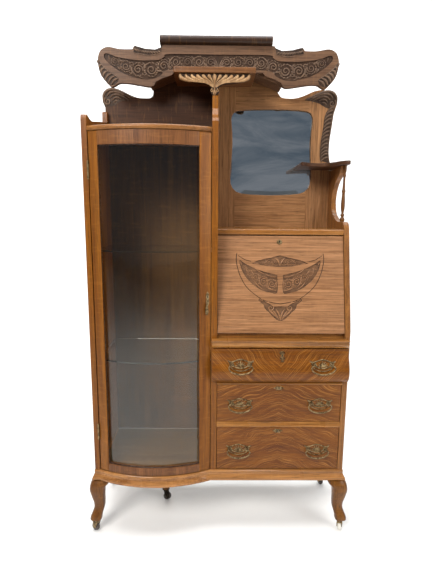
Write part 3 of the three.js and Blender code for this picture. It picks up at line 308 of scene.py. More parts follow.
FINISH = {
    "left": oak("oak_left_side", *CASE_TONES, seed=1),
    "partition": oak("oak_partition", *CASE_TONES, seed=2),
    "right": oak("oak_right_side", *WARM_TONES, seed=3),
    "door": oak("oak_door", *CASE_TONES, seed=4, fleck=0.1, gloss=0.38, coat=0.04),
    "base": oak("oak_base", rgb(112, 68, 32), rgb(190, 134, 80), grain="x", seed=19, **POLISHED),
    "door_rail": oak("oak_door_rail", rgb(84, 50, 28), rgb(136, 90, 54), seed=5),
    "along": oak("oak_mouldings", *WARM_TONES, grain="x", seed=6),
    "ledge": oak("oak_ledge", rgb(112, 66, 28), rgb(184, 128, 68), grain="x", seed=7, **POLISHED),
    "lid": oak(
        "oak_lid", *LID_TONES, grain="x", seed=8, fleck=0.04, ground=GLAZE_AND_SHADE, rings_at=110, rings_along=4
    ),
    "panel": oak("oak_panel", *SHADED_PANEL_TONES, grain="x", seed=9, **DULL),
    "frame": oak(
        "oak_mirror_frame",
        rgb(112, 75, 46),
        rgb(176, 130, 88),
        grain="x",
        seed=10,
        fleck=0.05,
        rings_at=95,
        rings_along=4,
        between_stiles=frame_rails,
    ),
    "shelf": oak("oak_candle_shelf", rgb(82, 50, 28), rgb(138, 94, 58), grain="x", seed=22),
    "crest": oak(
        "oak_crest", *CREST_TONES, grain="x", seed=11, fleck=0.05, ground=GLAZE_AND_SHADE, gloss=0.42, coat=0.03
    ),
    "cap": oak("oak_cap", rgb(26, 17, 13), rgb(58, 40, 30), grain="x", seed=16, gloss=0.34),
    "carving": oak("oak_carving", *CARVING_TONES, seed=17, ground=GLAZE_AND_SHADE, gloss=0.4, coat=0.03),
    # The shell's oak is paler than the other carving: painted highlight where the shell stands forward
    # into the light.
    "shell": oak("oak_shell", rgb(134, 96, 62), rgb(206, 168, 122), seed=18, ground=GLAZE_AND_SHADE, gloss=0.35),
    "leg": oak("oak_legs", rgb(78, 44, 14), rgb(128, 84, 36), seed=12),
    "inner": oak("oak_inside", rgb(58, 37, 14), rgb(98, 67, 28), seed=13, **DULL),
    "china_floor": oak("oak_china_floor", rgb(62, 45, 24), rgb(104, 80, 48), "x", 21, gloss=0.5),
    "drawer_box": oak("oak_drawer_boxes", rgb(98, 70, 42), rgb(158, 122, 80), "y", 14, gloss=0.5),
    "back": back_wood("back_boards", rgb(92, 70, 48), rgb(142, 112, 78), 15),
    "brass": antique_metal("antique_brass", rgb(150, 128, 92), rgb(78, 64, 45)),
    "dark_brass": antique_metal("dark_brass", rgb(104, 84, 58), rgb(52, 41, 30)),
    "iron": antique_metal("black_iron", rgb(62, 56, 50), rgb(30, 24, 20), 0.5),
    "glass": clear_glass("door_glass_wavy", (0.84, 0.84, 0.79, 1)),
    "shelf_glass": clear_glass("shelf_glass", (0.9, 0.95, 0.93, 1)),
    "mirror": silvering("mirror_silver"),
    "porcelain": glazed("white_porcelain", rgb(225, 221, 210)),
    "dark_wheel": glazed("dark_turned_wood", rgb(56, 38, 28)),
    # Near-black for the keyholes: painted shade for the holes.
    "dark": glazed("keyhole_dark", rgb(12, 9, 7)),
}


def flame_oak(name, node, slope, seed):
    """A drawer front's veneer, book-matched at the middle of a CAD node."""
    low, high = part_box(node)
    flame = ((low.x + high.x) / 2, slope)
    return oak(name, *FRONT_TONES, grain="x", seed=seed, fleck=0.46, flame=flame, gloss=0.28)


# ---- pieces

# The record's material slot of each finish that isn't plain "oak".
SLOTS = {
    finish: slot
    for slot, finishes in {
        "brass": "brass dark_brass",
        "iron": "iron",
        "glass": "glass shelf_glass",
        "mirror": "mirror",
        "porcelain": "porcelain",
        "wheel_wood": "dark_wheel",
        "back_wood": "back",
        "inner_wood": "inner drawer_box",
        "oak_dark": "crest cap carving panel shelf",
        "oak_gold": "ledge base shell leg",
    }.items()
    for finish in finishes.split()
}


def in_scene(name, data):
    thing = bpy.data.objects.new(name, data)
    bpy.context.scene.collection.objects.link(thing)
    return thing


def piece(name, verts, faces, body, finish, angle=35, local=None, replaces=(), bevel=0.0):
    """A mesh made in millimetres as a piece that rides on a body. local places it in the case,
    angle is the least angle that shows as an edge, and bevel is the width of eased edges."""
    build = bmesh.new()
    matrix = TO_FRAME @ local if local else TO_FRAME
    made = [build.verts.new(matrix @ Vector(v)) for v in verts]
    for face in faces:
        build.faces.new([made[i] for i in face])
    bmesh.ops.recalc_face_normals(build, faces=build.faces)
    return placed(name, build, body, finish, angle, replaces, bevel)


EASED_FROM = math.radians(28)  # edges sharper than this are eased


def placed(name, build, body, finish, angle, replaces, bevel):
    mesh = bpy.data.meshes.new(name)
    build.to_mesh(mesh)
    build.free()
    thing = in_scene(name, mesh)
    mesh.materials.append(FINISH.get(finish, finish))
    mesh.shade_smooth()
    if bevel:
        rounding = thing.modifiers.new("eased_edges", "BEVEL")
        rounding.width = bevel * MM
        rounding.segments = 2
        rounding.limit_method = "ANGLE"
        rounding.angle_limit = EASED_FROM
        even = thing.modifiers.new("flat_faces", "WEIGHTED_NORMAL")
        even.keep_sharp = True
    else:
        mesh.set_sharp_from_angle(angle=math.radians(angle))
    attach(thing, body)
    if replaces:
        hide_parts(*replaces)
    return thing


JOINED_WITHIN = 2e-5
FLAT_WITHIN = math.radians(0.4)


def refined(node, body, finish, bevel, angle=35):
    """A CAD node's own shape with its flats whole, its edges eased and its curves smooth."""
    build = bmesh.new()
    build.from_mesh(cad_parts[node].data)
    bmesh.ops.remove_doubles(build, verts=build.verts, dist=JOINED_WITHIN)
    bmesh.ops.dissolve_limit(build, angle_limit=FLAT_WITHIN, verts=build.verts, edges=build.edges)
    placed(node + "_finished", build, body, finish, angle, [node], bevel)


def tile(parts):
    """Joins (verts, faces) pairs into one."""
    verts, faces = [], []
    for some, theirs in parts:
        start = len(verts)
        verts.extend(some)
        faces.extend([tuple(i + start for i in face) for face in theirs])
    return verts, faces


def flat_loops(loops):
    return [[Vector((x, z, 0)) for x, z in loop] for loop in loops]


def walls(loop, start, count):
    """Faces from a loop's corners to the same corners in a second set, count further on."""
    size = len(loop)
    pairs = [(start + i, start + (i + 1) % size) for i in range(size)]
    return [(a, b, b + count, a + count) for a, b in pairs]


def board(outline, front, back):
    """A board from its outline seen from the front, (X, Z)."""
    count = len(outline)
    verts = [(x, front, z) for x, z in outline] + [(x, back, z) for x, z in outline]
    faces = []
    for a, b, c in tessellate_polygon(flat_loops([outline])):
        faces += [(a, b, c), (a + count, c + count, b + count)]
    return verts, faces + walls(outline, 0, count)


def sunk_board(outer, hollows, front, depth, back):
    """A board from outlines seen from the front, (X, Z), whose hollows are sunk by a depth."""
    loops = [outer, *hollows]
    corners = [point for loop in loops for point in loop]
    count = len(corners)
    rim = len(outer)
    verts = [(x, front, z) for x, z in corners]
    verts += [(x, back if i < rim else front + depth, z) for i, (x, z) in enumerate(corners)]
    flat = flat_loops(loops)
    faces = [tuple(face) for face in tessellate_polygon(flat)]
    start = 0
    for loop, outline in zip(loops, flat):
        base = start + count
        faces += [(a + base, c + base, b + base) for a, b, c in tessellate_polygon([outline])]
        faces += walls(loop, start, count)
        start += len(loop)
    return verts, faces


BOX_FACES = [(0, 1, 3, 2), (4, 6, 7, 5), (0, 4, 5, 1), (2, 3, 7, 6), (0, 2, 6, 4), (1, 5, 7, 3)]


def box(x, y, z):
    return [(a, b, c) for a in x for b in y for c in z], BOX_FACES


def flipped(loop, centre=0.0):
    """A line's mirror image about X = centre, run backwards."""
    return [(2 * centre - x, z) for x, z in reversed(loop)]


def spline(points, steps=6, closed=False):
    """A smooth line through points of any dimension."""
    count = len(points)
    made = []
    for i in range(count if closed else count - 1):
        if closed:
            ring = [points[(i + k) % count] for k in (-1, 0, 1, 2)]
        else:
            ring = [points[min(max(i + k, 0), count - 1)] for k in (-1, 0, 1, 2)]
        for step in range(steps):
            t = step / steps
            weights = (
                -0.5 * t + t * t - 0.5 * t**3,
                1 - 2.5 * t * t + 1.5 * t**3,
                0.5 * t + 2 * t * t - 1.5 * t**3,
                -0.5 * t * t + 0.5 * t**3,
            )
            axes = range(len(ring[0]))
            made.append(tuple(sum(w * p[d] for w, p in zip(weights, ring)) for d in axes))
    if not closed:
        made.append(tuple(points[-1]))
    return made


def skin(rings, closed=False):
    """A closed skin over rings of points with equal counts."""
    count = len(rings[0])
    verts = [point for ring in rings for point in ring]
    faces = []
    levels = len(rings)
    for level in range(levels if closed else levels - 1):
        after = (level + 1) % levels
        for i in range(count):
            j = (i + 1) % count
            faces.append((level * count + i, level * count + j, after * count + j, after * count + i))
    if not closed:
        faces.append(tuple(reversed(range(count))))
        faces.append(tuple((levels - 1) * count + i for i in range(count)))
    return verts, faces


def lathe(profile, centre=(0, 0, 0), axis="z", steps=32):
    """A turned solid: profile is (radius, height) along the axis, from one end to the other."""
    rings = []
    for radius, height in profile:
        ring = []
        for i in range(steps):
            turn = 2 * math.pi * i / steps
            u, v = radius * math.cos(turn), radius * math.sin(turn)
            point = {"z": (u, v, height), "x": (height, u, v), "y": (v, height, u)}[axis]
            ring.append(tuple(p + c for p, c in zip(point, centre)))
        rings.append(ring)
    return skin(rings)


def tube(points, radii, sides=12):
    """A round bar along 3-D points, with a radius at each."""
    line = [Vector(p) for p in points]
    rings = []
    normal = None
    for i, point in enumerate(line):
        ahead = line[min(i + 1, len(line) - 1)] - line[max(i - 1, 0)]
        ahead.normalize()
        if normal is None:
            normal = ahead.orthogonal().normalized()
        normal = (normal - ahead * normal.dot(ahead)).normalized()
        other = ahead.cross(normal)
        ring = []
        for k in range(sides):
            turn = 2 * math.pi * k / sides
            ring.append(tuple(point + radii[i] * (normal * math.cos(turn) + other * math.sin(turn))))
        rings.append(ring)
    return skin(rings)


# Carving is laid out flat, (u, v), as strokes: lines with a half-width at each point.


def stroke(points, widths, steps=5):
    """A carved stroke through points, its half-width following widths."""
    marks = [(u, v, w) for (u, v), w in zip(points, widths)]
    return spline(marks, steps)


def curl(centre, outer, inner, start, turns, width, steps=22):
    """A volute that winds in from outer to inner radius and ends in a bead; turns is
    negative for clockwise."""
    marks = []
    for i in range(steps + 1):
        t = i / steps
        radius = outer + (inner - outer) * t**0.8
        angle = math.radians(start) + 2 * math.pi * turns * t
        u, v = centre[0] + radius * math.cos(angle), centre[1] + radius * math.sin(angle)
        marks.append((u, v, width * (1 - 0.45 * t)))
    marks[-1] = (u, v, width * 1.25)
    return marks


def leaf(base, angle, length, width, bend=0.0):
    """A pointed leaf from its base; bend turns its tip, in degrees."""
    marks = []
    for i in range(7):
        t = i / 6
        heading = math.radians(angle + bend * t)
        u = base[0] + length * t * math.cos(heading)
        v = base[1] + length * t * math.sin(heading)
        marks.append((u, v, max(width * math.sin(math.pi * (0.12 + 0.84 * t)), width * 0.16)))
    return marks


def mirrored(strokes):
    return strokes + [[(-u, v, w) for u, v, w in one] for one in strokes]


def shifted(strokes, right, up=0):
    return [[(u + right, v + up, w) for u, v, w in one] for one in strokes]


RIDGE_SIDES = 8


def carved(strokes, surface, rise):
    """Strokes as rounded ridges on a plane at Y = surface, standing rise in front of it."""
    parts = []
    for one in strokes:
        rings = []
        for i, (u, v, w) in enumerate(one):
            u0, v0, _ = one[max(i - 1, 0)]
            u1, v1, _ = one[min(i + 1, len(one) - 1)]
            du, dv = u1 - u0, v1 - v0
            size = math.hypot(du, dv) or 1.0
            nu, nv = -dv / size, du / size
            tall = min(rise, w * 1.1)
            ring = []
            for k in range(RIDGE_SIDES):
                turn = 2 * math.pi * k / RIDGE_SIDES
                a = w * math.cos(turn)
                ring.append((u + nu * a, surface - tall * math.sin(turn), v + nv * a))
            rings.append(ring)
        parts.append(skin(rings))
    return tile(parts)


# A carving's "hollow" layer says how far each point lies in its hollows, from 0 to 1.


def mark(thing, share):
    """share is one number, or a function of a point's index."""
    count = len(thing.data.vertices)
    layer = thing.data.attributes.new("hollow", "FLOAT", "POINT")
    layer.data.foreach_set("value", [share(i) if callable(share) else share for i in range(count)])


def mark_floor(thing, outer, share):
    """Marks the floors of a sunk board's hollows."""
    first = len(thing.data.vertices) // 2 + len(outer)
    mark(thing, lambda i: share if i >= first else 0.0)


def relief(name, strokes, surface, rise, body, finish, foot, top=0.0, local=None):
    """A carving whose ridges darken from their tops to their feet: painted shade, with old finish
    gathered at the feet.
    """

    def share(i):
        height = max(math.sin(2 * math.pi * (i % RIDGE_SIDES) / RIDGE_SIDES), 0.0)
        return foot + (top - foot) * height

    mark(piece(name, *carved(strokes, surface, rise), body, finish, angle=60, local=local), share)


EDGE_LINE = (1.1, 0.5)  # half-width and height


def outlined(name, loops, surface, body, finish, local=None):
    """A painted shadow line along the foot of each hollow's edge."""
    width, rise = EDGE_LINE
    lines = [[(u, v, width) for u, v in loop + loop[:1]] for loop in loops]
    mark(piece(name, *carved(lines, surface, rise), body, finish, angle=60, local=local), 1.0)


def middle_of(node, axis):
    return sum(span(node, axis)) / 2


# ---- case boards

CASE_BOARDS = [  # node, finish, width of its eased edges, least angle that shows as an edge
    ("left_side_panel", "left", 1.2, 35),
    ("partition", "partition", 1.2, 35),
    ("right_side_panel", "right", 1.2, 35),
    ("base_moulding", "base", 0, 50),
    ("china_top", "along", 0, 50),
    ("desk_top", "ledge", 0.8, 35),
    ("drawer_rail_upper", "ledge", 0, 50),
    ("drawer_rail_lower", "ledge", 0, 50),
    ("ledge_board", "ledge", 0, 60),
    ("canopy", "crest", 1.2, 35),
    ("crest_cap", "cap", 0, 40),
    ("candle_shelf", "shelf", 2.0, 35),
    ("corner_shelf", "panel", 2.5, 35),
    ("back_panel", "panel", 1.5, 35),
    ("mirror_frame", "frame", 1.5, 35),
    ("centre_leg", "leg", 0, 40),
]
for node, finish, bevel, angle in CASE_BOARDS:
    refined(node, "case", finish, bevel, angle)

CAD_FINISH = {
    "china_back": "inner",
    "desk_back": "back",
    "case_bottom": "china_floor",
    "writing_board": "ledge",
    "pigeonhole_unit": "inner",
    "glass_shelf_lower": "shelf_glass",
    "glass_shelf_upper": "shelf_glass",
    "lid_hinge_left": "brass",
    "lid_hinge_right": "brass",
    "door_hinge_lower": "brass",
    "door_hinge_upper": "brass",
    "stay_arm": "brass",
    "stay_stud": "brass",
}
for node, finish in CAD_FINISH.items():
    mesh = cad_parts[node].data
    mesh.materials.clear()
    mesh.materials.append(FINISH[finish])

# ---- crest

CREST_X = middle_of("crest_board", 0)
CREST_FRONT, CREST_BACK = span("crest_board", 1)
# The right halves of the crest's outline and of its sunk band, from the top to the bottom.
CREST_EDGE = [
    (210, 1870.7), (216, 1862), (240, 1852), (280, 1855), (318, 1866), (326, 1854), (372, 1854),
    (417, 1861), (445, 1849), (457, 1820), (455, 1788), (444, 1756), (413, 1722), (396, 1724),
    (376, 1734), (340, 1733), (300, 1727), (262, 1722), (246, 1727), (239, 1740), (212, 1753),
    (178, 1764), (168, 1775.3),
]
CREST_BAND = [
    (0, 1838), (186, 1838), (206, 1828), (230, 1817), (300, 1815), (380, 1825), (418, 1838),
    (432, 1835), (431, 1820), (407, 1796), (368, 1771), (326, 1755), (284, 1747), (248, 1750),
    (220, 1762), (184, 1783), (0, 1784),
]


def both_halves(right, middle):
    """A closed outline from its right half."""
    left = flipped([point for point in right if point[0]])
    return [(middle + x, z) for x, z in right + left]


crest_edge = both_halves(CREST_EDGE[:5] + spline(CREST_EDGE[5:19], 4) + CREST_EDGE[19:], CREST_X)
crest_band = both_halves(spline(CREST_BAND, 4), CREST_X)
CREST_SUNK = 4.5
crest_floor = CREST_FRONT + CREST_SUNK
parts = sunk_board(crest_edge, [crest_band], CREST_FRONT, CREST_SUNK, CREST_BACK)
crest = piece("crest_board_finished", *parts, "case", "crest", bevel=1.0, replaces=["crest_board"])
# The band's floor is darkened (old finish and painted shade), and a painted shadow line runs along its
# edge.
mark_floor(crest, crest_edge, 0.78)
outlined("crest_band_edge", [crest_band], crest_floor, "case", "crest")


def scrollwork(points, radii, side=1):
    """Running scrolls through points: a volute at each, joined by stems, with leaves between."""
    made = []
    for i, ((u, v), radius) in enumerate(zip(points, radii)):
        way = side if i % 2 == 0 else -side
        made.append(curl((u, v), radius * 0.8, radius * 0.16, 200 * way, -1.5 * way, radius * 0.14))
        for angle in range(0, 360, 30):
            turn = math.radians(angle)
            foot = (u + 0.86 * radius * math.cos(turn), v + way * 0.86 * radius * math.sin(turn))
            made.append(leaf(foot, way * (angle + 34), radius * 0.5, radius * 0.12, 55 * way))
        if i + 1 < len(points):
            nu, nv = points[i + 1]
            mid = ((u + nu) / 2, (v + nv) / 2 - way * radius * 0.5)
            foot = (u + radius * 0.4, v - way * radius * 0.9)
            tip = (nu - radii[i + 1] * 0.9, nv)
            made.append(stroke([foot, mid, tip], [radius * 0.1, radius * 0.18, radius * 0.1]))
            made.append(leaf(mid, -90 * way, radius * 0.7, radius * 0.14, 40 * way))
            over = ((u + nu) / 2, (v + nv) / 2 + way * radius * 0.55)
            made.append(curl(over, radius * 0.34, radius * 0.1, 20, way, radius * 0.1, 12))
    return made


SCROLLS = [(30, 1811), (74, 1812), (118, 1811), (162, 1811), (208, 1797), (256, 1783)]
SCROLLS += [(306, 1783), (352, 1794), (392, 1811)]
right_scrolls = scrollwork(SCROLLS, [19, 20, 20, 20, 22, 25, 24, 20, 15])
right_scrolls += [leaf((412, 1819), 50, 16, 2.4, 30), leaf((286, 1752), 10, 24, 2.2, 20)]
right_scrolls += [leaf((326, 1762), 25, 22, 2.2, 20), leaf((372, 1780), 32, 20, 2.2, 20)]
palmette = [leaf((0, 1790), 90 + turn, 40 - turn * 0.16, 3.4, turn * 0.2) for turn in range(0, 81, 20)]
strokes = shifted(mirrored(right_scrolls + palmette), CREST_X)
relief("crest_band_carving", strokes, crest_floor, 4.0, "case", "carving", 0.9)

# Gadroons: short ribs along the top steps, and larger ones like a fan on the wings' ends.
ribs = []
for u in range(222, 313, 10):
    top = 1853 + 0.0022 * (u - 250) ** 2
    ribs.append(leaf((u - 4, top - 15), 52, 16, 3.4, -20))
FAN_FEET = [(451, 1811), (442, 1797), (431, 1786), (418, 1776), (404, 1767), (391, 1759), (380, 1750)]
FAN_TIPS = [(453, 1800), (451, 1784), (446, 1769), (439, 1755), (430, 1744), (419, 1733), (407, 1727)]
for (u0, v0), (u1, v1) in zip(FAN_FEET, FAN_TIPS):
    middle = ((u0 + u1) / 2 + 4, (v0 + v1) / 2 + 4)
    ribs.append(stroke([(u0, v0), middle, (u1, v1)], [2.2, 5.2, 2.6]))
ribs.append(stroke([*FAN_FEET], [0.8] + [1.5] * 5 + [1.0]))
ribs.append(stroke([(216, 1840), (262, 1832), (318, 1840)], [1.2, 1.5, 1.2]))
FAN_GROUND = FAN_FEET + [(384, 1737), (397, 1727), (412, 1724.5), (427, 1738), (441, 1757)]
FAN_GROUND += [(452, 1786), (454.5, 1808)]
STEP_GROUND = [(214, 1863), (240, 1853.5), (280, 1856.5), (317, 1866), (322, 1843), (262, 1834)]
STEP_GROUND += [(218, 1842)]
# Dark sheets behind the gadroons: old finish and painted shade.
grounds = []
for outline in (FAN_GROUND, STEP_GROUND):
    for side in (-1, 1):
        ground = [(CREST_X + side * x, z) for x, z in outline]
        grounds.append(board(ground, CREST_FRONT - 0.5, CREST_FRONT + 0.5))
mark(piece("crest_gadroon_ground", *tile(grounds), "case", "carving"), 0.9)
relief("crest_gadroons", shifted(mirrored(ribs), CREST_X), CREST_FRONT, 4.5, "case", "carving", 1.0)

# ---- shell under the candle shelf

SHELL_X = middle_of("shell_bracket", 0)
SHELL_TOP = span("shell_bracket", 2)[1]
SHELL_FRONT, SHELL_BACK = span("shell_bracket", 1)
SHELL_FACE = SHELL_FRONT + 8
SHELL_HALF = [
    (130, -2), (125, -14), (106, -24), (74, -30), (35, -34), (19, -41), (11, -51), (17, -61),
    (10, -71), (0, -78),
]
shell_outline = [(x, SHELL_TOP + z) for x, z in both_halves(SHELL_HALF, SHELL_X)]
parts = board(shell_outline, SHELL_FACE, SHELL_BACK)
# The board behind the lobes is darkened: old finish and painted shade.
mark(piece("shell_board", *parts, "case", "crest", replaces=["shell_bracket"]), 0.85)
lobes = []
for k in range(1, 7):
    x = 21.3 * k
    line = [(x, -5), (0.96 * x, -8 - 1.5 * k), (0.78 * x, -14 - 1.9 * k), (0.5 * x, -22 - 1.2 * k)]
    line += [(0.24 * x + 1, -31 - 0.5 * k), (3 + 0.6 * k, -48)]
    lobes.append(stroke(line, [4.6, 7.6, 5.6, 3.2, 1.8, 1.2]))
lobes += [curl((8.5, -60), 6.5, 1.5, 90, -1.1, 2.0), leaf((1, -76), 62, 14, 2.4, 10)]
lobes = mirrored(lobes)
lobes.append(stroke([(0, -3), (0, -14), (0, -28), (0, -48)], [5.5, 8.5, 5.0, 1.6]))
lobes.append(stroke([(0, -49), (0, -58), (0, -68), (0, -77)], [2.6, 3.2, 5.2, 1.2]))
relief("shell_lobes", shifted(lobes, SHELL_X, SHELL_TOP), SHELL_FACE, 7.5, "case", "shell", 0.75)

# ---- carved shoulders of the back panels

PANEL_FRONT = span("back_panel", 1)[0]
SWEEPS = [  # points, and half-widths before they are thickened
    (
        [(3, 1698), (7, 1722), (24, 1738), (50, 1740), (88, 1727), (128, 1708)],
        [2.5, 4.6, 5.2, 5.0, 4.2, 1.5],
    ),
    ([(20, 1716), (34, 1729), (56, 1731), (84, 1722), (114, 1707)], [2.0, 4.2, 4.6, 4.0, 1.4]),
    ([(32, 1708), (44, 1719), (62, 1721), (82, 1714), (98, 1706)], [1.8, 3.8, 4.0, 3.2, 1.2]),
    ([(40, 1698), (50, 1708), (62, 1710), (76, 1704)], [1.6, 3.4, 3.2, 1.2]),
    ([(44, 1688), (52, 1696), (62, 1698)], [1.4, 2.8, 1.2]),
]


def shoulder(edge, side):
    """A volute with leaves that sweep inward under the top edge. Strokes are given as distances
    inward from the panel's side edge, with their heights. side is -1 for the left shoulder."""
    made = []
    for points, widths in SWEEPS:
        made.append(stroke(points, [1.3 * w for w in widths]))
    made.append(curl((21, 1694), 16, 3, 120, 1.4, 5.0))
    made += [leaf((30 + 17 * i, 1733 - 1.6 * i * i), -38, 15, 2.0, -30) for i in range(5)]
    return [[(edge - side * u, v, w) for u, v, w in one] for one in made]


SHOULDER_GROUND = [(10, 1677), (2, 1694), (2, 1711), (9, 1730), (26, 1741.5), (50, 1742.5)]
SHOULDER_GROUND += [(90, 1730), (124, 1714), (134, 1706.5), (100, 1702), (72, 1694), (48, 1680)]
SHOULDER_GROUND += [(28, 1674)]


def dark_patch(name, outline):
    """The dark ground under carving that stands on a panel's face: old finish and painted shade."""
    patch = board(outline, PANEL_FRONT - 0.4, PANEL_FRONT + 0.4)
    mark(piece(name, *patch, "case", "carving"), 0.75)


PANEL_LEFT = span("back_panel", 0)[0]
dark_patch("left_shoulder_ground", [(PANEL_LEFT + u, v) for u, v in SHOULDER_GROUND])
strokes = shoulder(PANEL_LEFT, -1)
relief("left_shoulder_carving", strokes, PANEL_FRONT, 6, "case", "carving", 1.0, 0.05)
FRAME_RIGHT = 479
STRIP_EDGE = [(474, 1676), (467, 1654), (462, 1607), (456, 1559), (454, 1511), (457, 1478), (463, 1456)]
dark_patch("right_shoulder_ground", [(FRAME_RIGHT - 2 - u, v) for u, v in SHOULDER_GROUND])
strip_line = spline(STRIP_EDGE, 6)
strip_inner = [(x - 38, z - 14) for x, z in strip_line[-8::-1]]
dark_patch("right_strip_ground", [(x - 1, z) for x, z in strip_line] + strip_inner)
strip = [stroke([(x - 3, z) for x, z in STRIP_EDGE], [2.2] * len(STRIP_EDGE))]
next_rib = STRIP_EDGE[0][1]
for x, z in strip_line[:-5]:
    if z <= next_rib:
        rib = [(x - 5, z + 3), (x - 16, z + 2), (x - 28, z - 6), (x - 36, z - 16)]
        strip.append(stroke(rib, [2.4, 4.4, 3.6, 1.2]))
        next_rib = z - 11
strokes = shoulder(FRAME_RIGHT, 1) + strip
relief("right_shoulder_carving", strokes, PANEL_FRONT, 6, "case", "carving", 1.0)

# ---- mirror

MIRROR_X = middle_of("mirror_plate", 0)
MIRROR_Z = middle_of("mirror_plate", 2)
MIRROR_REACH = (169, 175)  # half its width and height
MIRROR_GLASS = 3.4  # its thickness
MIRROR_HALF = [
    (0, 1670), (80, 1668.5), (140, 1664), (160, 1655), (168, 1638), (167, 1605), (163, 1560),
    (164, 1500), (169, 1440), (171, 1400), (167, 1366), (150, 1342), (120, 1330), (60, 1326),
    (0, 1324),
]


def mirror_ring(margin, y):
    """The mirror's outline, grown by a margin."""
    wider, taller = (1 + margin / reach for reach in MIRROR_REACH)
    loop = spline(MIRROR_HALF + flipped(MIRROR_HALF[1:-1]), 5, closed=True)
    return [(MIRROR_X + x * wider, y, MIRROR_Z + (z - MIRROR_Z) * taller) for x, z in loop]


mirror_front, mirror_back = span("mirror_plate", 1)
glass_back = mirror_front + MIRROR_GLASS
bevelled = [(5, glass_back), (5, mirror_front + 2.6), (-17, mirror_front + 0.2)]
mirror = skin([mirror_ring(*ring) for ring in bevelled])
piece("bevelled_mirror", *mirror, "case", "mirror", angle=1, replaces=["mirror_plate"])
backing = [mirror_ring(5, glass_back + 0.1), mirror_ring(5, mirror_back)]
piece("mirror_backing", *skin(backing), "case", "back", replaces=["mirror_plate"])

# ---- spindle and legs

spindle_foot = (middle_of("spindle", 0), middle_of("spindle", 1), 0)
spindle_low, spindle_high = span("spindle", 2)
TURNING = [  # radius, and height as a share of the whole
    (8, 0), (9.3, 0.03), (8, 0.065), (5, 0.085), (7.4, 0.11), (7.4, 0.13), (4.5, 0.155),
    (7.2, 0.24), (7.5, 0.35), (5.6, 0.5), (6.8, 0.53), (6.8, 0.56), (5.2, 0.59), (4.4, 0.78),
    (6.6, 0.82), (4.6, 0.86), (6.6, 0.895), (7.5, 0.94), (7.5, 1),
]
turned = [(r, spindle_low + t * (spindle_high - spindle_low)) for r, t in spline(TURNING, 4)]
piece("turned_spindle", *lathe(turned, spindle_foot), "case", "leg", replaces=["spindle"])

LEG_SECTIONS = [  # height, how far it leans out, half-width
    (54, 1, 20.3), (59, 1.5, 21.8), (70, 0, 21.3), (85, -5, 20.3), (102, -10, 19.8),
    (122, -10.5, 20.8), (142, -8.5, 23.3), (160, -7, 25.8), (178, -6, 28.3), (192, -8, 30.3),
    (206, -16, 35.8), (219.7, -21, 33.8),
]
SQUARENESS = 3.4  # of a leg's section: 2 is round


def cabriole(name, corner, flare):
    """A leg whose middle leans out from its corner by a distance that changes with height."""
    rings = []
    for z, out, half in spline(LEG_SECTIONS, 4):
        ring = []
        for i in range(32):
            turn = 2 * math.pi * i / 32
            c, s = math.cos(turn), math.sin(turn)
            reach = half / (abs(c) ** SQUARENESS + abs(s) ** SQUARENESS) ** (1 / SQUARENESS)
            x = corner[0] + flare[0] * out + reach * c
            ring.append((x, corner[1] + flare[1] * out + reach * s, z))
        rings.append(ring)
    piece(name + "_carved", *skin(rings), "case", "leg", angle=50, replaces=[name])


LEG_X = span("right_side_panel", 0)[1]
REAR_LEG_Y = middle_of("rear_left_leg", 1)
cabriole("front_left_leg", (-LEG_X, 0), (-1, -1))
cabriole("front_right_leg", (LEG_X, 0), (1, -1))
cabriole("rear_left_leg", (-LEG_X, REAR_LEG_Y), (-1, 0))
cabriole("rear_right_leg", (LEG_X, REAR_LEG_Y), (1, 0))

for corner in ("front_left", "front_right", "rear_left", "rear_right", "centre"):
    fork = "iron" if corner == "centre" else "brass"
    wheel = "porcelain" if corner == "front_right" else "dark_wheel"
    refined(corner + "_caster_fork", corner + "_caster", fork, bevel=0, angle=35)
    refined(corner + "_caster_wheel", corner + "_wheel", wheel, bevel=0, angle=50)

# ---- door

DOOR_LEFT, DOOR_RIGHT = span("door_frame", 0)
DOOR_LOW, DOOR_HIGH = span("door_frame", 2)
BOW_X = -248
BOW_HALF = 212
BOW_RISE = 49
BOW_RADIUS = (BOW_HALF**2 + BOW_RISE**2) / (2 * BOW_RISE)
BOW_Y = BOW_RADIUS - BOW_RISE
OPENING_X = (-424, -77)
OPENING_Z = (295, 1472)
FRAME_DEPTH = 22
RAIL_SEAM = 0.15  # gap at each end of a rail
RAIL_INSET = 0.3
BEAD = 3.2
BEAD_DEPTH = (-12, -5)  # outside the face


def bow(x, outside):
    """Y on the bow's arc at X, a distance outside the door's face."""
    return BOW_Y - math.sqrt((BOW_RADIUS + outside) ** 2 - (x - BOW_X) ** 2)


def bow_slab(x, depth, z, steps):
    """A curved slab between two X, two distances outside the face and two heights."""
    across = [x[0] + (x[1] - x[0]) * i / steps for i in range(steps + 1)]
    plan = [(a, bow(a, depth[1])) for a in across] + [(a, bow(a, depth[0])) for a in reversed(across)]
    return skin([[(a, b, level) for a, b in plan] for level in z])


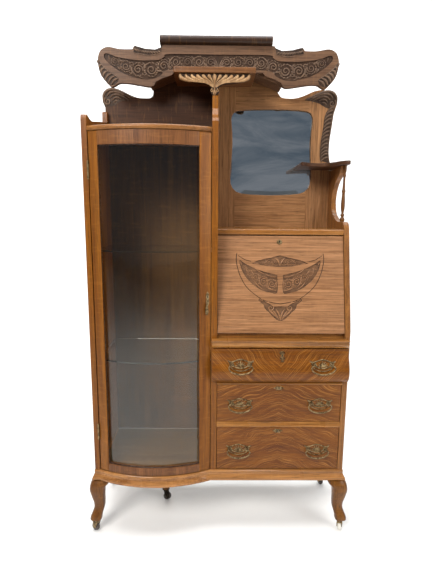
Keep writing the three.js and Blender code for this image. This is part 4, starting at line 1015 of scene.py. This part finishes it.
left, right = OPENING_X
low, high = OPENING_Z
stile_depth = (-FRAME_DEPTH, 0)
stile = bow_slab((DOOR_LEFT, left), stile_depth, (DOOR_LOW, DOOR_HIGH), 6)
piece("door_stile_left", *stile, "door", "door", bevel=1.5, replaces=["door_frame"])
stile = bow_slab((right, DOOR_RIGHT), stile_depth, (DOOR_LOW, DOOR_HIGH), 6)
piece("door_stile_right", *stile, "door", "door", bevel=1.5)
for name, heights in (("door_rail_top", (high, DOOR_HIGH)), ("door_rail_bottom", (DOOR_LOW, low))):
    rail = bow_slab((left + RAIL_SEAM, right - RAIL_SEAM), (-FRAME_DEPTH, -RAIL_INSET), heights, 40)
    piece(name, *rail, "door", "door_rail", bevel=0.8)
beads = [
    bow_slab((left, left + BEAD), BEAD_DEPTH, OPENING_Z, 1),
    bow_slab((right - BEAD, right), BEAD_DEPTH, OPENING_Z, 1),
    bow_slab((left + BEAD, right - BEAD), BEAD_DEPTH, (high - BEAD, high), 30),
    bow_slab((left + BEAD, right - BEAD), BEAD_DEPTH, (low, low + BEAD), 30),
]
piece("door_glass_beads", *tile(beads), "door", "dark_wheel", bevel=0.6)


def wavy_pane(x, z, outside, thickness, columns=70, rows=150):
    """A curved pane whose two faces wander a little together, as in old bent glass."""
    grids = []
    for depth in (outside, outside - thickness):
        grid = []
        for j in range(rows + 1):
            level = z[0] + (z[1] - z[0]) * j / rows
            for i in range(columns + 1):
                across = x[0] + (x[1] - x[0]) * i / columns
                ripple = 0.22 * math.sin(across * 0.09 + 1.7 * math.sin(level * 0.006))
                ripple += 0.16 * math.sin(across * 0.17 + 2.3 + 1.3 * math.sin(level * 0.011 + 1.0))
                ripple += 0.12 * math.sin(level * 0.021 + across * 0.02)
                edge = min(across - x[0], x[1] - across, level - z[0], z[1] - level) / 20
                grid.append((across, bow(across, depth + ripple * min(max(edge, 0), 1)), level))
        grids.append(grid)
    wide = columns + 1
    count = len(grids[0])
    faces = []
    for j in range(rows):
        for i in range(columns):
            a = j * wide + i
            faces.append((a, a + 1, a + 1 + wide, a + wide))
            faces.append((a + count, a + wide + count, a + 1 + wide + count, a + 1 + count))
    rim = list(range(wide)) + [j * wide + columns for j in range(1, rows + 1)]
    rim += [rows * wide + i for i in range(columns - 1, -1, -1)]
    rim += [j * wide for j in range(rows - 1, 0, -1)]
    for a, b in zip(rim, rim[1:] + rim[:1]):
        faces.append((b, a, a + count, b + count))
    return grids[0] + grids[1], faces


PANE_LAP = 4  # how far the pane reaches in behind the frame
PANE_FACE = -13  # outside the face
PANE_THICKNESS = 3
pane_x = (left - PANE_LAP, right + PANE_LAP)
pane = wavy_pane(pane_x, (low - PANE_LAP, high + PANE_LAP), PANE_FACE, PANE_THICKNESS)
door_pane = piece("door_glass_pane", *pane, "door", "glass", angle=50, replaces=["door_glass"])
door_pane.visible_shadow = False
for node in ("glass_shelf_lower", "glass_shelf_upper"):
    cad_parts[node].visible_shadow = False

# The door's lock plate and its drop.
LOCK_X = -48
LOCK_TURN = math.asin((LOCK_X - BOW_X) / BOW_RADIUS)
LOCK_Z = 940
lock_place = Matrix.Translation((LOCK_X, bow(LOCK_X, 0), LOCK_Z)) @ Matrix.Rotation(LOCK_TURN, 4, "Z")
lock_outline = spline([(0, 27), (5, 19), (6.5, 8), (5, -2), (6.5, -13), (4, -22), (0, -27)], 4)
lock_outline += flipped(lock_outline[1:-1])
lock_plate = board(lock_outline, -1.6, 0.4)
piece("door_lock_plate", *lock_plate, "door", "brass", bevel=0.5, local=lock_place)
keyhole = spline([(0, 13), (2, 11), (1.6, 8.6), (1.6, 4), (0, 3)], 3)
keyhole += flipped(keyhole[1:-1])
# The keyhole is a dark sheet on the plate: painted shade for the hole.
piece("door_keyhole", *board(keyhole, -1.9, -1.2), "door", "dark", local=lock_place)
refined("door_pull_drop", "door_drop", "brass", bevel=0.8)

# ---- lid

LEAN = math.radians(13.5)
LID_LEFT, LID_RIGHT = span("fall_front", 0)
LID_THICKNESS = 16
LID_LENGTH = 364
LID_PIVOT = (0, 16.6, 807)
lid_place = Matrix.Translation(LID_PIVOT) @ Matrix.Rotation(-LEAN, 4, "X")
LID_CENTRE = 222


def up_lid(z):
    """The height up the lid's face of a point at height z in the case."""
    return (z - LID_PIVOT[2] - LID_THICKNESS * math.sin(LEAN)) / math.cos(LEAN)


def lid_loop(right, steps=4):
    """A closed outline on the lid from points of its right half, given as (X, case Z)."""
    return [(LID_CENTRE + x, up_lid(z)) for x, z in spline(right, steps)]


def off_lid_middle(points):
    return flipped(points, LID_CENTRE)


crescent_band = [(11, 1021), (60, 1033), (98, 1046), (130, 1062), (151, 1074), (146, 1046)]
crescent_band += [(129, 1015), (104, 989), (72, 967), (40, 958), (11, 958)]
foliage_mound = [(106, 1063), (84, 1073), (56, 1080), (28, 1086), (0, 1093)]
pendant = [(0, 907), (24, 911), (50, 921), (72, 935), (81, 930), (72, 921), (62, 914), (57, 899)]
pendant += [(40, 884), (25, 868), (11, 858), (0, 855)]
band_right = lid_loop(crescent_band + crescent_band[:1])[:-1]
band_left = off_lid_middle(band_right)
mound = lid_loop(foliage_mound)
mound += off_lid_middle(mound[:-1])
mound += [(LID_CENTRE - 50, up_lid(1054)), (LID_CENTRE, up_lid(1051)), (LID_CENTRE + 50, up_lid(1054))]
drop = lid_loop(pendant)
drop += off_lid_middle(drop[1:-1])

# The crescent's outline is a narrow groove from one tip, round the bottom, to the other.
groove_half = [(163, 1100), (165, 1071), (152, 1021), (124, 974), (73, 934), (36, 921), (0, 915)]
groove_outer = lid_loop(groove_half)
groove_outer += off_lid_middle(groove_outer[:-1])
GROOVE_WIDTH = 3.0
groove_inner = []
for u, v in reversed(groove_outer):
    lift = (u - LID_CENTRE) / groove_half[1][0]
    groove_inner.append((u - GROOVE_WIDTH * lift, v + GROOVE_WIDTH * (1.05 - abs(lift))))
groove = groove_outer + groove_inner
horn = lid_loop([(157, 1093), (132, 1078), (109, 1072)])
horn_right = horn + [(u, v - 2.2) for u, v in reversed(horn)]
horn_left = off_lid_middle(horn_right)
edge = [(LID_LEFT, 0), (LID_RIGHT, 0), (LID_RIGHT, LID_LENGTH), (LID_LEFT, LID_LENGTH)]
hollows = [band_right, band_left, mound, drop, groove, horn_right, horn_left]
LID_SUNK = 2.6
lid_floor = -LID_THICKNESS + LID_SUNK
parts = sunk_board(edge, hollows, -LID_THICKNESS, LID_SUNK, 0)
lid = piece("lid_board", *parts, "lid", "lid", bevel=0.8, local=lid_place, replaces=["fall_front"])
# The hollows' floors are darkened (old finish and painted shade), and painted shadow lines run along
# their edges.
mark_floor(lid, edge, 0.66)
outlined("lid_carving_edges", hollows, lid_floor, "lid", "lid", lid_place)
lug = box((439, 446.7), (-0.5, 16), (144, 156))
piece("lid_stay_lug", *lug, "lid", "brass", bevel=0.8, local=lid_place)

LID_SCROLLS = [(31, 989), (62, 998), (91, 1012), (114, 1030), (133, 1049)]
lid_strokes = scrollwork(LID_SCROLLS, [17, 17, 14, 10, 7], -1)
lid_strokes += scrollwork([(15, 1069), (40, 1067), (64, 1064)], [12, 10, 8], 1)
lid_strokes += [curl((36, 902), 13, 3, 120, 1.2, 3.2), curl((72, 929), 6, 1.5, 200, -1.1, 2.2)]
LID_LEAVES = [  # foot, angle, length, half-width, bend
    ((143, 1058), 58, 14, 2.4, 10),
    ((14, 1014), -4, 44, 3, 20),
    ((14, 965), 4, 44, 3, 16),
    ((60, 1026), 14, 40, 2.6, 18),
    ((66, 970), 28, 44, 2.6, 18),
    ((13, 974), 88, 30, 2.0, 8),
    ((76, 1060), 8, 28, 3.0, 8),
    ((1, 1056), 78, 34, 3.6, -20),
    ((6, 908), -14, 52, 3.2, 46),
    ((1, 858), 88, 44, 4.2, -20),
    ((6, 860), 66, 42, 3.8, -10),
    ((12, 866), 48, 38, 3.4, 0),
    ((20, 874), 34, 32, 3, 10),
]
lid_strokes += [leaf(*row) for row in LID_LEAVES]
strokes = [[(LID_CENTRE + u, up_lid(v), w) for u, v, w in one] for one in mirrored(lid_strokes)]
relief("lid_carving", strokes, lid_floor, 3.2, "lid", "lid", 1.0, local=lid_place)
button = [(0.2, -2.2), (4, -2.2), (6.5, -1.6), (9.5, -1.4), (10, -0.2), (0.2, 0.4)]
button = [(r, y - LID_THICKNESS + 0.1) for r, y in reversed(button)]
LID_LOCK_X = 220
lock_height = up_lid(1142)
lid_lock = lathe(button, (LID_LOCK_X, 0, lock_height), "y")
piece("lid_lock_plate", *lid_lock, "lid", "brass", local=lid_place)
# The keyhole is a dark sheet on the plate: painted shade for the hole.
lid_key = [(x + LID_LOCK_X, z + lock_height - 7) for x, z in keyhole]
lid_key = board(lid_key, -LID_THICKNESS - 2.4, -LID_THICKNESS - 1.8)
piece("lid_keyhole", *lid_key, "lid", "dark", local=lid_place)

# ---- drawers and pulls

DRAWERS = {  # pull X, pull Z, bail pivot Y, flame slope, key X, key Z
    "upper": ((75, 377), 694, -43, -1.1, 229, 730),
    "middle": ((77, 380), 530, -10, 0.34, 223, 597),
    "lower": ((74, 377), 343, -10, 0.38, 223, 424),
}
DRAWER_FRONT = (2, 22)
OGEE_BACK = -0.6
BOX_X = (-9, 458.5)
BOX_BACK = 306
BOX_SIDE = 12
BOX_BOTTOM = 8
# The upper drawer's face: distances down from its top, and Y.
OGEE = [(0, -9), (15, -10), (33, -18), (58, -29), (84, -34), (108, -30), (126, -18)]
POST_X = 29
POST_UP = 6  # from the plate's middle


def ogee_front(low, high):
    """The upper drawer's front: a board whose face swells forward towards its foot."""
    face = spline([(y, high - down) for down, y in OGEE[:-1]] + [(OGEE[-1][1], low)], 5)
    profile = [(OGEE_BACK, high)] + face + [(OGEE_BACK, low)]
    left, right = span("drawer_upper", 0)
    return skin([[(x, y, z) for y, z in profile] for x in (left, right)])


def drawer_box(front, low, high):
    """Two sides, a back and a bottom, open above."""
    x0, x1 = BOX_X
    inside = (x0 + BOX_SIDE, x1 - BOX_SIDE)
    back = BOX_BACK - BOX_SIDE
    return tile(
        [
            box((x0, inside[0]), (front, BOX_BACK), (low, high)),
            box((inside[1], x1), (front, BOX_BACK), (low, high)),
            box(inside, (back, BOX_BACK), (low, high)),
            box(inside, (front, back), (low, low + BOX_BOTTOM)),
        ]
    )


def face_y(level, z):
    """Y of a drawer's face at height z."""
    if level != "upper":
        return DRAWER_FRONT[0]
    down = span("drawer_upper", 2)[1] - z
    for (d0, y0), (d1, y1) in zip(OGEE, OGEE[1:]):
        if down <= d1:
            return y0 + (y1 - y0) * (down - d0) / (d1 - d0)
    return OGEE[-1][1]


def on_face(level, x, z, out, reach):
    """A place on a drawer's face, a distance out of it. Its tilt is that of the face from
    z - reach to z + reach."""
    tilt = math.atan2(face_y(level, z + reach) - face_y(level, z - reach), 2 * reach)
    return Matrix.Translation((x, face_y(level, z) - out, z)) @ Matrix.Rotation(-tilt, 4, "X")


def pull_plate():
    """A pierced back plate: a winged top bar over a fan, with scrolls at its sides."""
    bar = [(-47, 21), (-34, 15), (-17, 21), (0, 25), (17, 21), (34, 15), (47, 21)]
    made = [stroke(bar, [0.8, 2.4, 2, 2.6, 2, 2.4, 0.8])]
    made += [leaf((0, -1), 90 + turn, 23 - abs(turn) * 0.03, 2.1) for turn in range(-78, 79, 26)]
    made.append(stroke([(-30, 8), (-20, -3), (0, -7), (20, -3), (30, 8)], [2.2, 2.2, 3, 2.2, 2.2]))
    made += mirrored([curl((31, 9), 8, 2, 60, -1.1, 1.8), leaf((38, 13), 10, 12, 1.8, 25)])
    rim = [(-41, 10), (-36, -4), (-18, -14), (0, -17), (18, -14), (36, -4), (41, 10)]
    made.append(stroke(rim, [1.6] * len(rim)))
    return made


def bail_tube():
    """A hanging handle, thicker in its middle."""
    points = [(-34, 0), (-42, -4), (-43, -13), (-34, -24), (-17, -31), (0, -33)]
    line = spline(points + flipped(points[:-1]), 4)
    count = len(line) - 1
    radii = [2.0 + 0.9 * math.sin(math.pi * i / count) ** 2 for i in range(count + 1)]
    return tube([(x, 0, z) for x, z in line], radii)


def key_plate(tall):
    """An escutcheon: a small oval with leaves to its sides, or a tall one above and below."""
    made = [stroke([(0, -6), (0, 6)], [4.6, 4.6], 4)]
    if tall:
        made += [leaf((0, 4), 90, 16, 3.4), leaf((0, -4), -90, 22, 3.4)]
        made += mirrored([leaf((2, 2), 40, 14, 2.4, 30), leaf((2, -2), -40, 14, 2.4, -30)])
        made += mirrored([curl((6, 10), 5, 1.5, 180, -1, 1.7), curl((6, -10), 5, 1.5, 180, 1, 1.7)])
        made += mirrored([leaf((1, -18), -50, 10, 2), leaf((1, 12), 50, 10, 2)])
    else:
        made += mirrored([leaf((3, 0), 0, 17, 3.4)])
        made += mirrored([leaf((2, 2), 35, 11, 2.2), leaf((2, -2), -35, 11, 2.2)])
    return made


POST = [(0.3, 0), (3.6, 0.8), (4.2, 3.2), (2.8, 4.6), (2.6, 9), (5.5, 9.6), (5.5, 11), (1, 12)]
POST_NOSE = 3  # how far a post stands out past its bail's pivot

for index, (level, row) in enumerate(DRAWERS.items()):
    pull_x, pull_z, pivot_y, slope, key_x, key_z = row
    node = "drawer_" + level
    body = level + "_drawer"
    low, high = span(node, 2)
    veneer = flame_oak("oak_flame_" + level, node, slope, 20 + 3 * index)
    if level == "upper":
        front, rounding, angle = ogee_front(low, high), 1.0, 30
        sides = drawer_box(OGEE_BACK, low + 4, high - 12)
    else:
        front, rounding, angle = box(span(node, 0), DRAWER_FRONT, (low, high)), 1.4, 35
        sides = drawer_box(DRAWER_FRONT[1], low + 1, high - 12)
    piece("drawer_front_" + level, *front, body, veneer, angle, bevel=rounding, replaces=[node])
    piece("drawer_box_" + level, *sides, body, "drawer_box", bevel=0.8)
    for side, x in zip(("left", "right"), pull_x):
        plate = carved(pull_plate(), 0, 1.7)
        place = on_face(level, x, pull_z, 0.8, 14)
        piece(f"pull_plate_{level}_{side}", *plate, body, "brass", angle=60, local=place)
        nose = pivot_y - POST_NOSE
        reach = face_y(level, pull_z) - nose
        knob = [(r, nose + t * reach / POST[-1][1]) for r, t in POST]
        feet = [(x + way * POST_X, 0, pull_z + POST_UP) for way in (-1, 1)]
        posts = tile([lathe(knob, foot, "y", 20) for foot in feet])
        piece(f"pull_posts_{level}_{side}", *posts, body, "brass", angle=50)
        place = Matrix.Translation((x, pivot_y, pull_z + POST_UP))
        bail = f"bail_{level}_{side}"
        bail_body = f"{level}_{side}_bail"
        piece(bail + "_cast", *bail_tube(), bail_body, "brass", angle=70, local=place, replaces=[bail])
    key_place = on_face(level, key_x, key_z, 0.3, 10)
    plate = carved(key_plate(level == "upper"), 0, 1.8)
    key_metal = "dark_brass" if level == "upper" else "brass"
    piece("key_plate_" + level, *plate, body, key_metal, angle=60, local=key_place)
    # The keyhole is a dark sheet on the plate: painted shade for the hole.
    hole = board([(0.8 * a, 0.8 * (b - 8)) for a, b in keyhole], -2.1, -1.2)
    piece("keyhole_" + level, *hole, body, "dark", local=key_place)

# ---- floor, light and camera

FLOOR_BACK, FLOOR_CURVE = 1.2, 1.6  # in metres
floor_mesh = bpy.data.meshes.new("floor")
sweep = [(-9.0, 0.0), (FLOOR_BACK, 0.0)]
for step in range(1, 13):
    turn = math.radians(90 * step / 12)
    across, up = FLOOR_CURVE * math.sin(turn), FLOOR_CURVE * (1 - math.cos(turn))
    sweep.append((FLOOR_BACK + across, up))
sweep.append((FLOOR_BACK + FLOOR_CURVE, 7.0))
floor_verts = [(x, y, z) for y, z in sweep for x in (-9, 9)]
floor_faces = [(2 * i, 2 * i + 1, 2 * i + 3, 2 * i + 2) for i in range(len(sweep) - 1)]
floor_mesh.from_pydata(floor_verts, [], floor_faces)
floor_mesh.shade_smooth()
floor = in_scene("floor", floor_mesh)
paper = Shader("pale_floor", Roughness=0.6)
tone = paper.noise(paper.place(), scale=1.4, detail=2)
pale = paper.mix(tone, (0.88, 0.88, 0.87, 1), (0.91, 0.91, 0.90, 1))
# The floor's colour darkens well in front of the object: painted shade for the room's dimness.
near = paper.between(paper.split(paper.place())[1], -7.0, -2.0)
floor_mesh.materials.append(paper.finish(paper.mix(near, (0.2, 0.2, 0.2, 1), pale)))

# A pale room in front of the camera and a dimmer one behind it, so that the glass has depth.
world = bpy.data.worlds.new("studio")
bpy.context.scene.world = world
world.use_nodes = True
world.node_tree.nodes.clear()
view, split, fade, shade, sky, out = (
    world.node_tree.nodes.new("ShaderNode" + kind)
    for kind in ("TexCoord", "SeparateXYZ", "MapRange", "Mix", "Background", "OutputWorld")
)
fade.inputs[1].default_value = -0.15
fade.inputs[2].default_value = 0.35
shade.data_type = "RGBA"
shade.inputs[6].default_value = (0.17, 0.18, 0.2, 1)
shade.inputs[7].default_value = (0.93, 0.93, 0.92, 1)
for source, socket in (
    (view.outputs["Generated"], split.inputs[0]),
    (split.outputs[1], fade.inputs[0]),
    (fade.outputs[0], shade.inputs[0]),
    (shade.outputs[2], sky.inputs[0]),
    (sky.outputs[0], out.inputs[0]),
):
    world.node_tree.links.new(source, socket)


def softbox(name, place, aim, size, power, tint=(1, 1, 1)):
    lamp = bpy.data.lights.new(name, "AREA")
    lamp.shape = "RECTANGLE"
    lamp.size, lamp.size_y = size
    lamp.energy = power
    lamp.color = tint
    holder = in_scene(name, lamp)
    holder.location = place
    holder.rotation_mode = "QUATERNION"
    holder.rotation_quaternion = (Vector(aim) - Vector(place)).to_track_quat("-Z", "Y")


softbox("key", (-1.5, -2.6, 2.9), (0, 0, 0.9), (1.5, 1.0), 112, (1.0, 0.97, 0.93))
softbox("fill", (2.4, -2.0, 1.7), (0, 0, 0.9), (1.4, 1.4), 40, (1.0, 0.98, 0.96))
softbox("overhead", (0.1, -0.6, 3.4), (0, 0.1, 1.2), (2.6, 0.7), 55)
softbox("backdrop_wash", (0, 0.9, 3.6), (0, 2.6, 0.9), (4.5, 0.8), 110)

cam = bpy.data.cameras.new("camera")
cam.lens = 27.0
cam.sensor_width = 36
camera = in_scene("camera", cam)
pitch, yaw, roll = (math.radians(a) for a in (9.6, 0.62, 0.42))
ahead_flat = Vector((math.sin(yaw), math.cos(yaw), 0))
right = Vector((math.cos(yaw), -math.sin(yaw), 0))
ahead = ahead_flat * math.cos(pitch) - Vector((0, 0, math.sin(pitch)))
up = ahead_flat * math.sin(pitch) + Vector((0, 0, math.cos(pitch)))
cam_right = right * math.cos(roll) + up * math.sin(roll)
cam_up = up * math.cos(roll) - right * math.sin(roll)
camera.matrix_world = Matrix.Translation((-0.0335, -1.688, 1.239)) @ Matrix(
    (
        (cam_right.x, cam_up.x, -ahead.x),
        (cam_right.y, cam_up.y, -ahead.y),
        (cam_right.z, cam_up.z, -ahead.z),
    )
).to_4x4()
bpy.context.scene.camera = camera
bpy.context.scene.view_settings.view_transform = "Standard"

bpy.context.view_layer.update()
